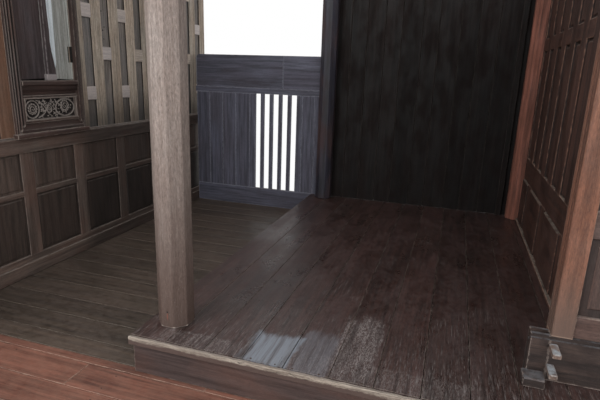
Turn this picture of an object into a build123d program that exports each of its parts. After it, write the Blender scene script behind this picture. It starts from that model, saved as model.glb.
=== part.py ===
from build123d import *
import os

# One kitchen bay of a Thai timber house: a raised plank platform with octagonal
# posts, a lower deck beside and before it, the panelled wall of the main house
# with its moulded window, a slatted parapet, a boarded back wall and a panelled
# right wall that meets a framed front wall on a pegged sill beam.
# Millimetres. X runs right along the back wall, Y runs to the back, Z is up.
# While modelling, X and Y are counted from the platform's front left corner and
# Z from the ground line; export moves the footprint's centre to the origin.

# Floor levels and timbers
bearer_height = 120
bearer_width = 90
bearer_pitch = 600
deck_thickness = 30
platform_rise = 190
platform_thickness = 42
platform_nosing_radius = 14
joist_width = 70
joist_pitch = 540
riser_thickness = 28
riser_setback = 16

# Plan, from the platform's front left corner
deck_front = -700
floor_back = 3150
left_wall_face = -1300
right_wall_face = 1940
back_wall_face = 2945
front_wall_face = 345

# Heights above the ground line
wall_top = 2600
beam_height = 110
beam_width = 110

# Octagonal posts, across flats
front_post_width = 161
back_post_width = 148
post_foot_chamfer = 4
front_left_post_x = 130
front_left_post_y = 210
back_left_post_x = 148
back_right_post_inset = 25

# Panelled walls
wall_thickness = 45
panel_thickness = 12
panel_recess = 15
panel_field_inset = 13
panel_field_height = 6
frame_bevel = 5
top_rail_height = 134

# Left wall, lower part
left_sole_height = 90
left_sole_proud = 12
lower_panel_width = 364
lower_stile_width = 104
front_lower_panel_count = 3
back_lower_panel_count = 4
window_centre = 990
left_bottom_rail_height = 45
bottom_panel_height = 405
lower_rail_height = 38
second_panel_height = 250
waist_rail_height = 94
waist_rail_proud = 14

# Left wall, upper part: the columns take turns to start on a short and a long panel
tall_panel_width = 87
cross_rail_height = 99
tall_panel_height = 491
foot_rail_height = 12
short_foot_panel_height = 203
long_foot_panel_height = 497
front_column_count = 7
back_column_count = 9
stile_before_window = 101
stile_after_window = 67

# Window of the left wall
window_base_height = 91
carving_frame_height = 175
ledge_height = 94
window_opening_width = 476
window_opening_height = 938
surround_width = 64
surround_depth = 38
surround_step = 6
surround_bead_count = 3
leaf_thickness = 24
leaf_recess = 12
leaf_gap = 2
latch_notch_width = 24
latch_notch_height = 107
latch_notch_rise = 121
astragal_lap = 6
astragal_width = 94
astragal_depth = 22
astragal_foot_height = 40
astragal_foot_depth = 28
base_overhang = 13
base_proud = 40
base_course_count = 3
carving_frame_width = 22
carving_frame_depth = 24
carving_depth = 14
ledge_proud = 38
ledge_course_count = 3

# Back parapet beside the left wall
parapet_corner_radius = 40
parapet_end_gap = 12
parapet_thickness = 32
slat_height = 975
slat_width = 40
slat_pitch = 96
slat_thickness = 24
slat_count = 4
parapet_rail_height = 55
parapet_panel_height = 318
parapet_jamb_left = -183
parapet_jamb_width = 62

# Back wall between the posts
board_thickness = 26
back_rail_height = 95
back_rail_thickness = 50
back_rail_lowest = 420
back_rail_pitch = 980
back_rail_count = 3
opening_head_height = 160
batten_width = 46
batten_thickness = 30
batten_gap = 34

# Right wall
right_sole_height = 20
right_sole_proud = 20
right_lower_panel_height = 367
right_lower_panel_width = 480
right_lower_stile = 175
right_lower_panel_proud = 10
right_lower_panel_bevel = 8
right_waist_height = 178
right_column_pitch = 280
right_column_width = 145
right_foot_panel_height = 852
right_lower_first = 1180
right_column_margin = 30
jamb_front = 665
jamb_back = 900
jamb_step = 38
jamb_step_proud = 14
jamb_step_count = 3

# Front right wall and its sill
sill_end_inset = 220
sill_height = 196
sill_proud = 22
sill_step_height = 14
sill_step_depth = 13
sill_groove_front = 30
sill_groove_width = 28
sill_groove_depth = 40
sill_block_inset = 240
sill_block_width = 86
sill_block_length = 78
sill_block_height = 41
peg_width = 32
peg_height = 22
peg_length = 88
peg_inset = 150
peg_drop = 47
peg_pitch = 92
peg_count = 2
corner_stile_inset = 147
corner_stile_width = 80
corner_stile_proud = 12
corner_stile_depth = 102
stile_flute_width = 9
stile_flute_depth = 7
stile_flute_first = 26
stile_flute_pitch = 36
stile_flute_count = 2
front_rail_height = 98
front_lower_panel_height = 324
front_cross_rail_height = 114
front_middle_panel_height = 628
front_panel_width = 364
front_field_inset = 32
front_frame_thickness = 50

# How far a cut runs past the face that it opens
cut_overshoot = 1

lower_deck_top = bearer_height + deck_thickness
platform_top = lower_deck_top + platform_rise
platform_underside = platform_top - platform_thickness
beam_top = wall_top + beam_height
top_rail_base = wall_top - top_rail_height

lower_pitch = lower_panel_width + lower_stile_width
left_wall_front = (window_centre - lower_panel_width / 2 - lower_stile_width
                   - front_lower_panel_count * lower_pitch)
left_wall_back = (window_centre + lower_panel_width / 2 + lower_stile_width
                  + back_lower_panel_count * lower_pitch)
left_wall_rear = left_wall_face - wall_thickness
left_sole_top = lower_deck_top + left_sole_height
bottom_row_base = left_sole_top + left_bottom_rail_height
middle_rail_base = bottom_row_base + bottom_panel_height
waist_rail_base = middle_rail_base + lower_rail_height + second_panel_height
waist_rail_top = waist_rail_base + waist_rail_height
tall_panel_base = waist_rail_top + foot_rail_height

window_base_top = waist_rail_top + window_base_height
carving_frame_top = window_base_top + carving_frame_height
window_opening_base = carving_frame_top + ledge_height
window_opening_top = window_opening_base + window_opening_height
window_opening_front = window_centre - window_opening_width / 2
window_opening_back = window_centre + window_opening_width / 2

parapet_rail_base = platform_top + slat_height
parapet_panel_base = parapet_rail_base + parapet_rail_height
parapet_top = parapet_panel_base + parapet_panel_height

right_sole_top = platform_top + right_sole_height
right_waist_base = right_sole_top + right_lower_panel_height
right_waist_top = right_waist_base + right_waist_height
right_cross_rail_base = right_waist_top + right_foot_panel_height
back_right_post_x = right_wall_face - back_right_post_inset
right_wall_front = front_wall_face + front_frame_thickness

sill_top = platform_top + sill_height
sill_left = right_wall_face - sill_end_inset
corner_stile_left = right_wall_face - corner_stile_inset
corner_stile_right = corner_stile_left + corner_stile_width
front_wall_right = corner_stile_right + front_panel_width + lower_stile_width
floor_left = left_wall_rear - left_sole_proud
floor_right = front_wall_right
back_post_y = back_wall_face - back_post_width / 2

os.makedirs("parts", exist_ok=True)
footprint_centre = Pos(-(floor_left + floor_right) / 2, -(deck_front + floor_back) / 2, 0)

# Each wall has its own plane: u along it, v up and w out of its visible face.
left_wall = Plane(origin=(left_wall_face, 0, 0), x_dir=(0, 1, 0), z_dir=(1, 0, 0))
back_wall = Plane(origin=(0, back_wall_face, 0), x_dir=(1, 0, 0), z_dir=(0, -1, 0))
right_wall = Plane(origin=(right_wall_face, back_wall_face, 0), x_dir=(0, -1, 0), z_dir=(-1, 0, 0))
front_wall = Plane(origin=(0, front_wall_face, 0), x_dir=(1, 0, 0), z_dir=(0, -1, 0))


def save(name, *solids):
    placed = [footprint_centre * solid for solid in solids]
    export_step(placed[0] if len(placed) == 1 else Compound(children=placed), f"parts/{name}.step")


def block(x0, x1, y0, y1, z0, z1):
    return Pos((x0 + x1) / 2, (y0 + y1) / 2, (z0 + z1) / 2) * Box(x1 - x0, y1 - y0, z1 - z0)


def on_wall(wall, solid):
    return wall.location * solid


def spaced(start, count, pitch):
    return [start + index * pitch for index in range(count)]


def evenly(first, last, longest_pitch):
    # Places from first to last, as many as keep them within the pitch.
    spans = max(1, -int(-(last - first) // longest_pitch))
    return [first + index * (last - first) / spans for index in range(spans + 1)]


def octagonal_post(x, y, width, base, top):
    section = RegularPolygon(radius=width / 2, side_count=8, major_radius=False, rotation=22.5)
    post = Pos(x, y, base) * extrude(section, amount=top - base)
    return chamfer(post.faces().sort_by(Axis.Z)[0].edges(), length=post_foot_chamfer)


def past(low, high, first, last):
    # A hole that reaches the edge of its frame is cut a little past that edge.
    return (low - cut_overshoot if low <= first else low,
            high + cut_overshoot if high >= last else high)


def frame_grid(u0, u1, v0, v1, back, face, holes):
    # A mortised frame of stiles and rails, bevelled round each hole on its face.
    cutters = [block(*past(a, b, u0, u1), *past(c, d, v0, v1), back - cut_overshoot, face + cut_overshoot)
               for a, b, c, d in holes]
    frame = block(u0, u1, v0, v1, back, face) - cutters
    mouths = [edge for edge in frame.faces().sort_by(Axis.Z)[-1].edges()
              if u0 < edge.center().X < u1 and v0 < edge.center().Y < v1]
    return chamfer(mouths, length=frame_bevel)


def flat_panel(hole, face):
    # A plain board let into a hole of the frame.
    a, b, c, d = hole
    return block(a, b, c, d, face - panel_recess - panel_thickness, face - panel_recess)


def fielded_panel(hole, face, inset=panel_field_inset):
    # The same with a raised and bevelled field.
    a, b, c, d = hole
    middle = Pos((a + b) / 2, (c + d) / 2, face - panel_recess)
    wide, tall = b - a - 2 * inset, d - c - 2 * inset
    crest = panel_field_height
    field = loft([Rectangle(wide, tall), Pos(0, 0, crest) * Rectangle(wide - 2 * crest, tall - 2 * crest)])
    return flat_panel(hole, face) + middle * field


def raised_board(hole, face):
    # A board that fills a hole of the frame and stands proud of it, with bevelled edges.
    a, b, c, d = hole
    board = block(a, b, c, d, face - panel_recess - panel_thickness, face + right_lower_panel_proud)
    return chamfer(board.faces().sort_by(Axis.Z)[-1].edges(), length=right_lower_panel_bevel)


def tall_column(u0, u1, crossings, rail_height, base, top):
    # Holes one over another in a column, parted by cross rails.
    holes = []
    low = base
    for level in crossings:
        holes.append((u0, u1, low, level))
        low = level + rail_height
    holes.append((u0, u1, low, top))
    return holes


def stepped_board(u0, u1, v0, v1, proud, steps):
    # A moulded board: each step up stands less proud.
    rise = (v1 - v0) / steps
    courses = [block(u0, u1, v0 + k * rise, v1, 0, proud * (steps - k) / steps) for k in range(steps)]
    return courses[0] + courses[1:]


def floor_parts():
    along = evenly(floor_left + bearer_width / 2, floor_right - bearer_width / 2, bearer_pitch)
    save("floor_bearers", *[block(x - bearer_width / 2, x + bearer_width / 2, deck_front, floor_back,
                                  0, bearer_height) for x in along])
    riser_back = riser_setback + riser_thickness
    save("lower_deck_front", block(floor_left, floor_right, deck_front, riser_back,
                                   bearer_height, lower_deck_top))
    save("lower_deck_side", block(floor_left, riser_back, riser_back, floor_back,
                                  bearer_height, lower_deck_top))
    joist_first = riser_back + joist_width / 2
    across = evenly(joist_first, floor_back - joist_width / 2, joist_pitch)
    save("platform_joists", *[block(riser_back, floor_right, y - joist_width / 2, y + joist_width / 2,
                                    bearer_height, platform_underside) for y in across])
    platform = block(0, floor_right, 0, floor_back, platform_underside, platform_top)
    nosing = [platform.faces().sort_by(Axis.Y)[0].edges().sort_by(Axis.Z)[-1],
              platform.faces().sort_by(Axis.X)[0].edges().sort_by(Axis.Z)[-1]]
    save("platform_deck", fillet(nosing, radius=platform_nosing_radius))
    save("riser_front", block(riser_setback, floor_right, riser_setback, riser_back,
                              lower_deck_top, platform_underside))
    save("riser_left", block(riser_setback, riser_back, riser_back, floor_back,
                             lower_deck_top, platform_underside))


def post_parts():
    save("post_front_left", octagonal_post(front_left_post_x, front_left_post_y, front_post_width,
                                           platform_top, wall_top))
    save("post_back_left", octagonal_post(back_left_post_x, back_post_y, back_post_width,
                                          platform_top, wall_top))
    save("post_back_right", octagonal_post(back_right_post_x, back_post_y, back_post_width,
                                           platform_top, wall_top))


def beam_parts():
    # The front beam lies on the post, and the plate of the front wall is spiked to its back.
    half = beam_width / 2
    front_beam_back = front_left_post_y + half
    plate_back = front_wall_face + front_frame_thickness
    back_beam_back = back_wall_face + board_thickness
    back_beam_front = back_beam_back - beam_width
    side_left = back_left_post_x - half
    right_plate_left = right_wall_face - (beam_width - wall_thickness) / 2
    save("left_wall_plate", block(left_wall_rear, left_wall_rear + beam_width, left_wall_front,
                                  left_wall_back, wall_top, beam_top))
    save("back_beam", block(left_wall_rear + beam_width, right_plate_left + beam_width,
                            back_beam_front, back_beam_back, wall_top, beam_top))
    save("side_beam", block(side_left, side_left + beam_width, front_beam_back, back_beam_front,
                            wall_top, beam_top))
    save("front_beam", block(front_left_post_x - half, floor_right, front_beam_back - beam_width,
                             front_beam_back, wall_top, beam_top))
    save("front_wall_plate", block(corner_stile_left, floor_right, front_beam_back, plate_back,
                                   wall_top, beam_top))
    save("right_wall_plate", block(right_plate_left, right_plate_left + beam_width, plate_back,
                                   back_beam_front, wall_top, beam_top))


def crossings_above(foot_panel_height):
    # Cross rails up a tall column, while a panel at least as tall as wide fits over the last.
    levels = []
    level = tall_panel_base + foot_panel_height
    while level + cross_rail_height + tall_panel_width < top_rail_base:
        levels.append(level)
        level += tall_panel_height + cross_rail_height
    return levels


def tall_columns(first, last, count):
    # Holes of a row of columns from first to last, which start on short and long panels by turns.
    pitch = (last - first - tall_panel_width) / (count - 1)
    holes = []
    for index, start in enumerate(spaced(first, count, pitch)):
        foot_panel = short_foot_panel_height if index % 2 == 0 else long_foot_panel_height
        holes += tall_column(start, start + tall_panel_width, crossings_above(foot_panel),
                             cross_rail_height, tall_panel_base, top_rail_base)
    return holes


def left_wall_parts():
    u0, u1 = left_wall_front, left_wall_back
    sole = block(u0, u1, lower_deck_top, left_sole_top, -wall_thickness - left_sole_proud, left_sole_proud)
    arris = sole.edges().group_by(Axis.Y)[-1].filter_by(Axis.X).sort_by(Axis.Z)[-1]
    save("left_wall_sole", on_wall(left_wall, chamfer(arris, length=frame_bevel)))
    rows = ((bottom_row_base, middle_rail_base), (middle_rail_base + lower_rail_height, waist_rail_base))
    count = 1 + front_lower_panel_count + back_lower_panel_count
    starts = spaced(u0 + lower_stile_width, count, lower_pitch)
    lower_holes = [(s, s + lower_panel_width, low, high) for s in starts for low, high in rows]
    save("left_wall_lower_frame", on_wall(left_wall, frame_grid(
        u0, u1, left_sole_top, waist_rail_base, -wall_thickness, 0, lower_holes)))
    save("left_wall_lower_panels", *[on_wall(left_wall, fielded_panel(hole, 0)) for hole in lower_holes])
    waist = block(u0, u1, waist_rail_base, waist_rail_top, -wall_thickness, waist_rail_proud)
    crown = waist.edges().filter_by(Axis.X).group_by(Axis.Z)[-1]
    save("left_wall_waist_rail", on_wall(left_wall, chamfer(crown, length=frame_bevel)))

    # Frames before and behind the window, with plain boards under and over it.
    last_before = window_opening_front - surround_width - stile_before_window
    first_after = window_opening_back + surround_width + stile_after_window
    before = tall_columns(u0 + lower_stile_width, last_before, front_column_count)
    after = tall_columns(first_after, u1 - lower_stile_width, back_column_count)
    for name, start, end, holes in (("left_wall_front_frame", u0, window_opening_front, before),
                                    ("left_wall_back_frame", window_opening_back, u1, after)):
        save(name, on_wall(left_wall, frame_grid(
            start, end, waist_rail_top, wall_top, -wall_thickness, 0, holes)))
    save("left_wall_upper_panels", *[on_wall(left_wall, flat_panel(hole, 0)) for hole in before + after])
    for name, low, high in (("window_apron_board", waist_rail_top, window_opening_base),
                            ("window_header_board", window_opening_top, wall_top)):
        save(name, on_wall(left_wall, block(window_opening_front, window_opening_back, low, high,
                                            -wall_thickness, 0)))


def window_parts():
    # A moulded surround stands on the lowest course of the base, and holds the leaves,
    # the ledge and the carved panel between its legs.
    mid = window_centre
    low, high = window_opening_base, window_opening_top
    front, back = window_opening_front, window_opening_back
    rim = surround_width
    course_top = waist_rail_top + window_base_height / base_course_count
    foot, past_face = course_top - cut_overshoot, surround_depth + cut_overshoot
    ring = block(front - rim, back + rim, course_top, high + rim, 0, surround_depth)
    ring -= block(front, back, foot, high, -cut_overshoot, past_face)
    for bead in range(1, surround_bead_count):
        inset = rim - rim * bead / surround_bead_count
        ring -= block(front - inset, back + inset, foot, high + inset,
                      surround_depth - bead * surround_step, past_face)
    save("window_surround", on_wall(left_wall, ring))

    # Plain leaves; the front one carries a lapping astragal, and the back one has a latch notch.
    face = -leaf_recess
    leaf_front = block(front + leaf_gap / 2, mid - leaf_gap / 2, low, high - leaf_gap,
                       face - leaf_thickness, face)
    leaf_back = block(mid + leaf_gap / 2, back - leaf_gap / 2, low, high - leaf_gap,
                      face - leaf_thickness, face)
    notch_base = low + latch_notch_rise
    leaf_back -= block(back - latch_notch_width, back, notch_base, notch_base + latch_notch_height,
                       face - leaf_thickness / 2, face + cut_overshoot)
    save("window_leaf_front", on_wall(left_wall, leaf_front))
    save("window_leaf_back", on_wall(left_wall, leaf_back))
    left = mid - astragal_lap
    bar = block(left, left + astragal_width, low, high - leaf_gap, face, face + astragal_depth)
    bar = chamfer(bar.edges().filter_by(Axis.Y).group_by(Axis.Z)[-1], length=frame_bevel)
    bar += block(left, left + astragal_width, low, low + astragal_foot_height, face,
                 face + astragal_foot_depth)
    save("window_astragal", on_wall(left_wall, bar))

    base = block(front - rim - base_overhang, back + rim + base_overhang, waist_rail_top, course_top,
                 0, base_proud)
    upper_courses = base_course_count - 1
    base += stepped_board(front, back, course_top, window_base_top,
                          base_proud * upper_courses / base_course_count, upper_courses)
    save("window_base", on_wall(left_wall, base))
    edge = carving_frame_width
    inside = (front + edge, back - edge, window_base_top + edge, carving_frame_top - edge)
    frame = block(front, back, window_base_top, carving_frame_top, 0, carving_frame_depth)
    frame -= block(*inside, -cut_overshoot, carving_frame_depth + cut_overshoot)
    mouth = frame.faces().sort_by(Axis.Z)[-1].inner_wires()[0].edges()
    save("carving_frame", on_wall(left_wall, chamfer(mouth, length=frame_bevel)))
    save("carved_panel", on_wall(left_wall, block(*inside, 0, carving_depth)))
    ledge = stepped_board(front, back, 0, ledge_height, ledge_proud, ledge_course_count)
    turned = Pos(0, window_opening_base, 0) * mirror(ledge, about=Plane.XZ)
    save("window_ledge", on_wall(left_wall, turned))


def parapet_parts():
    left = left_wall_face + parapet_end_gap
    right = back_left_post_x
    jamb_right = parapet_jamb_left + parapet_jamb_width
    save("parapet_sole", on_wall(back_wall, block(left_wall_face + left_sole_proud, 0, lower_deck_top,
                                                  platform_top, -parapet_thickness, 0)))
    # A slatted part between two jambs, with boards on both sides of it.
    gap = slat_pitch - slat_width
    rights = spaced(parapet_jamb_left - gap, slat_count, -slat_pitch)
    second_jamb_right = parapet_jamb_left - gap - slat_count * slat_pitch
    second_jamb_left = second_jamb_right - parapet_jamb_width
    first_board_left = left_wall_face + waist_rail_proud
    save("parapet_slats", *[on_wall(back_wall, block(edge - slat_width, edge, platform_top,
                                                     parapet_rail_base, -slat_thickness, 0))
                            for edge in rights])
    jambs = ((parapet_jamb_left, jamb_right), (second_jamb_left, second_jamb_right))
    save("parapet_jamb", *[on_wall(back_wall, block(start, end, platform_top, parapet_rail_base,
                                                    -parapet_thickness, 0)) for start, end in jambs])
    boarded = ((jamb_right, right), (first_board_left, second_jamb_left))
    save("parapet_boards", *[on_wall(back_wall, block(start, end, platform_top, parapet_rail_base,
                                                      -board_thickness, 0)) for start, end in boarded])
    save("parapet_rail", on_wall(back_wall, block(left_wall_face, right, parapet_rail_base,
                                                  parapet_panel_base, -parapet_thickness, 0)))
    panel = block(left, right, parapet_panel_base, parapet_top, -parapet_thickness, 0)
    corner = panel.edges().filter_by(Axis.Z).sort_by(Axis.X)[:2].sort_by(Axis.Y)[-1]
    save("parapet_panel", on_wall(back_wall, fillet(corner, radius=parapet_corner_radius)))
    save("opening_head", on_wall(back_wall, block(left_wall_face, right, wall_top - opening_head_height,
                                                  wall_top, -board_thickness, 0)))


def back_wall_parts():
    left, right = back_left_post_x, right_wall_face + wall_thickness
    save("back_wall_boards", on_wall(back_wall, block(left, right, platform_top, wall_top,
                                                      -board_thickness, 0)))
    outside = -board_thickness - back_rail_thickness
    save("back_wall_rails", *[on_wall(back_wall, block(left, right, level, level + back_rail_height,
                                                       outside, -board_thickness))
                              for level in spaced(back_rail_lowest, back_rail_count, back_rail_pitch)])
    batten_right = back_right_post_x - back_post_width / 2 - batten_gap
    save("back_wall_batten", on_wall(back_wall, block(batten_right - batten_width, batten_right,
                                                      platform_top, wall_top, 0, batten_thickness)))


def right_wall_parts():
    # u is counted from the back wall's face; the wall starts at the post, and is scribed to it.
    post = octagonal_post(back_right_post_x, back_post_y, back_post_width, platform_top, wall_top)
    rear, front = back_wall_face - back_post_y, back_wall_face - right_wall_front

    def place(y):
        return back_wall_face - y

    sole = block(rear, front, platform_top, right_sole_top, -wall_thickness, right_sole_proud)
    save("right_wall_sole", on_wall(right_wall, sole) - post)

    columns = []
    y = jamb_back + right_column_margin
    while y + right_column_width < back_post_y - back_post_width / 2:
        columns.append(y)
        y += right_column_pitch
    upper_holes = []
    for y in columns:
        upper_holes += tall_column(place(y + right_column_width), place(y), [right_cross_rail_base],
                                   cross_rail_height, right_waist_top, top_rail_base)
    # The last column's edge ends the last board of the lower row.
    last_edge = max(columns) + right_column_width
    lower_holes = []
    y = right_lower_first
    while y < max(columns):
        lower_holes.append((place(min(y + right_lower_panel_width, last_edge)), place(y),
                            right_sole_top, right_waist_base))
        y += right_lower_panel_width + right_lower_stile
    frame = frame_grid(rear, front, right_sole_top, wall_top, -wall_thickness, 0,
                       upper_holes + lower_holes)
    save("right_wall_frame", on_wall(right_wall, frame) - post)
    panels = [fielded_panel(hole, 0) for hole in upper_holes]
    panels += [raised_board(hole, 0) for hole in lower_holes]
    save("right_wall_panels", *[on_wall(right_wall, panel) for panel in panels])

    jamb = [block(place(jamb_back) + k * jamb_step, place(jamb_front) - k * jamb_step,
                  right_sole_top, wall_top, k * jamb_step_proud, (k + 1) * jamb_step_proud)
            for k in range(jamb_step_count)]
    save("right_wall_jamb", on_wall(right_wall, jamb[0] + jamb[1:]))


def sill_parts():
    # The sill's end is grooved and rebated, and a stop block lies on the floor before it.
    back = -front_frame_thickness
    sill = block(sill_left, floor_right, platform_top, sill_top, back, sill_proud)
    sill -= block(sill_left - cut_overshoot, floor_right + cut_overshoot, sill_top - sill_step_height,
                  sill_top + cut_overshoot, sill_proud - sill_step_depth, sill_proud + cut_overshoot)
    groove_face = sill_proud - sill_groove_front
    sill -= block(sill_left - cut_overshoot, corner_stile_left, sill_top - sill_groove_depth,
                  sill_top + cut_overshoot, groove_face - sill_groove_width, groove_face)
    save("sill_beam", on_wall(front_wall, sill))
    block_left = right_wall_face - sill_block_inset
    stop = block(block_left, block_left + sill_block_width, platform_top,
                 platform_top + sill_block_height, sill_proud, sill_proud + sill_block_length)
    save("sill_block", on_wall(front_wall, chamfer(stop.edges().group_by(Axis.Y)[-1],
                                                   length=post_foot_chamfer)))
    pegs = []
    peg_left = right_wall_face - peg_inset
    for low in spaced(sill_top - peg_drop, peg_count, -peg_pitch):
        peg = block(peg_left, peg_left + peg_width, low, low + peg_height,
                    sill_proud, sill_proud + peg_length)
        pegs.append(chamfer(peg.faces().sort_by(Axis.Z)[-1].edges(), length=post_foot_chamfer))
    save("sill_pegs", *[on_wall(front_wall, peg) for peg in pegs])


def front_wall_parts():
    # The corner stile stands over the sill, and runs down behind it to the floor.
    rear = corner_stile_proud - corner_stile_depth
    stile = block(corner_stile_left, corner_stile_right, sill_top, wall_top, rear, corner_stile_proud)
    stile += block(corner_stile_left, corner_stile_right, platform_top, sill_top, rear,
                   -front_frame_thickness)
    for flute in spaced(stile_flute_first, stile_flute_count, stile_flute_pitch):
        face = corner_stile_proud - flute
        stile -= block(corner_stile_left - cut_overshoot, corner_stile_left + stile_flute_depth,
                       sill_top - cut_overshoot, wall_top + cut_overshoot, face - stile_flute_width, face)
    save("corner_stile", on_wall(front_wall, stile))

    hole_left, hole_right = corner_stile_right, corner_stile_right + front_panel_width
    first = sill_top + front_rail_height
    second = first + front_lower_panel_height + front_cross_rail_height
    crossings = [first + front_lower_panel_height, second + front_middle_panel_height]
    holes = tall_column(hole_left, hole_right, crossings, front_cross_rail_height, first, top_rail_base)
    save("front_wall_frame", on_wall(front_wall, frame_grid(
        corner_stile_right, floor_right, sill_top, wall_top, -front_frame_thickness, 0, holes)))
    save("front_wall_panels", *[on_wall(front_wall, fielded_panel(hole, 0, front_field_inset))
                                for hole in holes])


floor_parts()
post_parts()
beam_parts()
left_wall_parts()
window_parts()
parapet_parts()
back_wall_parts()
right_wall_parts()
sill_parts()
front_wall_parts()
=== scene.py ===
import math
import random
from functools import partialmethod

import bmesh
import bpy
import numpy as np
from mathutils import Matrix, Vector


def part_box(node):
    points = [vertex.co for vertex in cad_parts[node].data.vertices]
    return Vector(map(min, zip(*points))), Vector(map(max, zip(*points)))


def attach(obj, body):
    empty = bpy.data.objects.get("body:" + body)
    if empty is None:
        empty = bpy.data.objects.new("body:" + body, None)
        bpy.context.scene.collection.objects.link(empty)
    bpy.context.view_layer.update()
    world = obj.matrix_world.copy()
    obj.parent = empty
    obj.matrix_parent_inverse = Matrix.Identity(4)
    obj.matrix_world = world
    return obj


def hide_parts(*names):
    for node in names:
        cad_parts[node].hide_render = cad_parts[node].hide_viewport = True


# Places are written in bay millimetres: X right, Y to the back, Z up, from the platform's front left corner.
rowOrigin = np.array((492.0, 1225.0, 0.0))  # where the row frame has its origin


def axis(name):
    return (-1 if name[0] == "-" else 1) * np.eye(3)["xyz".index(name[-1])]


def camel(name):
    first, *others = name.split("_")
    return first + "".join(word.capitalize() for word in others)


def link(thing):
    bpy.context.scene.collection.objects.link(thing)
    return thing


cameraView = {
    "place": (0.839, -2.880, 1.540),  # metres, in the row frame
    "lens": 28.90,
    "yaw": 17.445,  # degrees to the left of the back wall's normal
    "pitch": 14.867,
    "roll": 1.8945,
}


def makeCamera(spec):
    yaw, pitch, roll = (math.radians(spec[key]) for key in ("yaw", "pitch", "roll"))
    forward = Vector((-math.sin(yaw) * math.cos(pitch), math.cos(yaw) * math.cos(pitch), -math.sin(pitch)))
    level = Vector((math.cos(yaw), math.sin(yaw), 0))
    upward = level.cross(forward)
    right = math.cos(roll) * level + math.sin(roll) * upward
    up = -math.sin(roll) * level + math.cos(roll) * upward
    turn = Matrix((right, up, -forward)).transposed().to_4x4()
    data = bpy.data.cameras.new("camera")
    data.lens = spec["lens"]
    data.sensor_width = 36
    data.clip_start = 0.02
    camera = bpy.data.objects.new("camera", data)
    camera.matrix_world = Matrix.Translation(spec["place"]) @ turn
    bpy.context.scene.camera = link(camera)


makeCamera(cameraView)
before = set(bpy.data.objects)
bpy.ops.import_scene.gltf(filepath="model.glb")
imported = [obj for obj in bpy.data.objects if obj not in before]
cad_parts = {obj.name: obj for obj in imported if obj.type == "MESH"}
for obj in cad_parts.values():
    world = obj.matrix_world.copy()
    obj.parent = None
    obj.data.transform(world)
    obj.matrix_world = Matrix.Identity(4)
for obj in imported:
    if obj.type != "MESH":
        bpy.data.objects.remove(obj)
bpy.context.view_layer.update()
print("frame loaded")


# Node building

class Graph:
    # Short ways to add nodes to a shader tree or a geometry tree.
    def __init__(self, tree):
        self.tree = tree

    def add(self, kind, inputs=None, **settings):
        node = self.tree.nodes.new(kind)
        for key, value in settings.items():
            setattr(node, key, value)
        for key, value in (inputs or {}).items():
            self.put(node.inputs[key], value)
        return node

    def put(self, socket, value):
        if isinstance(value, bpy.types.NodeSocket):
            self.tree.links.new(value, socket)
        elif value is not None:
            socket.default_value = value

    def math(self, operation, a, b=None, clamp=False):
        return self.add("ShaderNodeMath", {0: a, 1: b}, operation=operation, use_clamp=clamp).outputs[0]

    times = partialmethod(math, "MULTIPLY")
    plus = partialmethod(math, "ADD")
    minus = partialmethod(math, "SUBTRACT")
    over = partialmethod(math, "DIVIDE")
    largest = partialmethod(math, "MAXIMUM")

    def vec(self, operation, a, b=None, scale=None):
        node = self.add("ShaderNodeVectorMath", {0: a, 1: b}, operation=operation)
        if scale is not None:
            self.put(node.inputs["Scale"], scale)
        return node.outputs["Value" if operation == "LENGTH" else "Vector"]

    stretch = partialmethod(vec, "MULTIPLY")
    move = partialmethod(vec, "ADD")

    def split(self, vector):
        return self.add("ShaderNodeSeparateXYZ", {0: vector}).outputs

    def join(self, x, y, z):
        return self.add("ShaderNodeCombineXYZ", {0: x, 1: y, 2: z}).outputs[0]

    def remap(self, value, low, high, outLow=0.0, outHigh=1.0, smooth=True):
        node = self.add("ShaderNodeMapRange", {"Value": value, "From Min": low, "From Max": high,
                                               "To Min": outLow, "To Max": outHigh})
        node.interpolation_type = "SMOOTHSTEP" if smooth else "LINEAR"
        return node.outputs[0]

    def noise(self, vector, scale, detail=2.0, roughness=0.5):
        return self.add("ShaderNodeTexNoise", {"Vector": vector, "Scale": scale, "Detail": detail,
                                               "Roughness": roughness}).outputs[0]

    def mix(self, amount, a, b, kind="MIX"):
        node = self.add("ShaderNodeMix", data_type="RGBA", blend_type=kind)
        self.put(node.inputs[0], amount)
        self.put(node.inputs[6], a)
        self.put(node.inputs[7], b)
        return node.outputs[2]

    def dim(self, shade, factor):
        grey = self.add("ShaderNodeCombineColor", {0: factor, 1: factor, 2: factor}).outputs[0]
        return self.mix(1.0, shade, grey, "MULTIPLY")

    def openness(self, distance, inside=False):
        # How open the piece's own surface is around a point, or how thick it is there.
        return self.add("ShaderNodeAmbientOcclusion", {"Distance": distance}, samples=6, only_local=True,
                        inside=inside).outputs["AO"]

    def place(self):
        return self.add("ShaderNodeTexCoord").outputs["Object"]

    def facingUp(self):
        return self.split(self.add("ShaderNodeNewGeometry").outputs["Normal"])[2]

    def group(self, tree, inputs):
        return self.add("ShaderNodeGroup", inputs, node_tree=tree).outputs

    def store(self, geometry, name, value):
        return self.add("GeometryNodeStoreNamedAttribute", {"Geometry": geometry, "Name": name, "Value": value},
                        data_type="FLOAT_VECTOR", domain="POINT").outputs[0]

    def read(self, name, kind="FLOAT_VECTOR"):
        return self.add("GeometryNodeInputNamedAttribute", {"Name": name}, data_type=kind).outputs[0]


def linear(value):
    return value / 12.92 if value <= 0.04045 else ((value + 0.055) / 1.055) ** 2.4


def colour(code):
    # A six-digit sRGB code as a linear colour.
    return tuple(linear(int(code[i:i + 2], 16) / 255) for i in (0, 2, 4)) + (1.0,)


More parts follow.
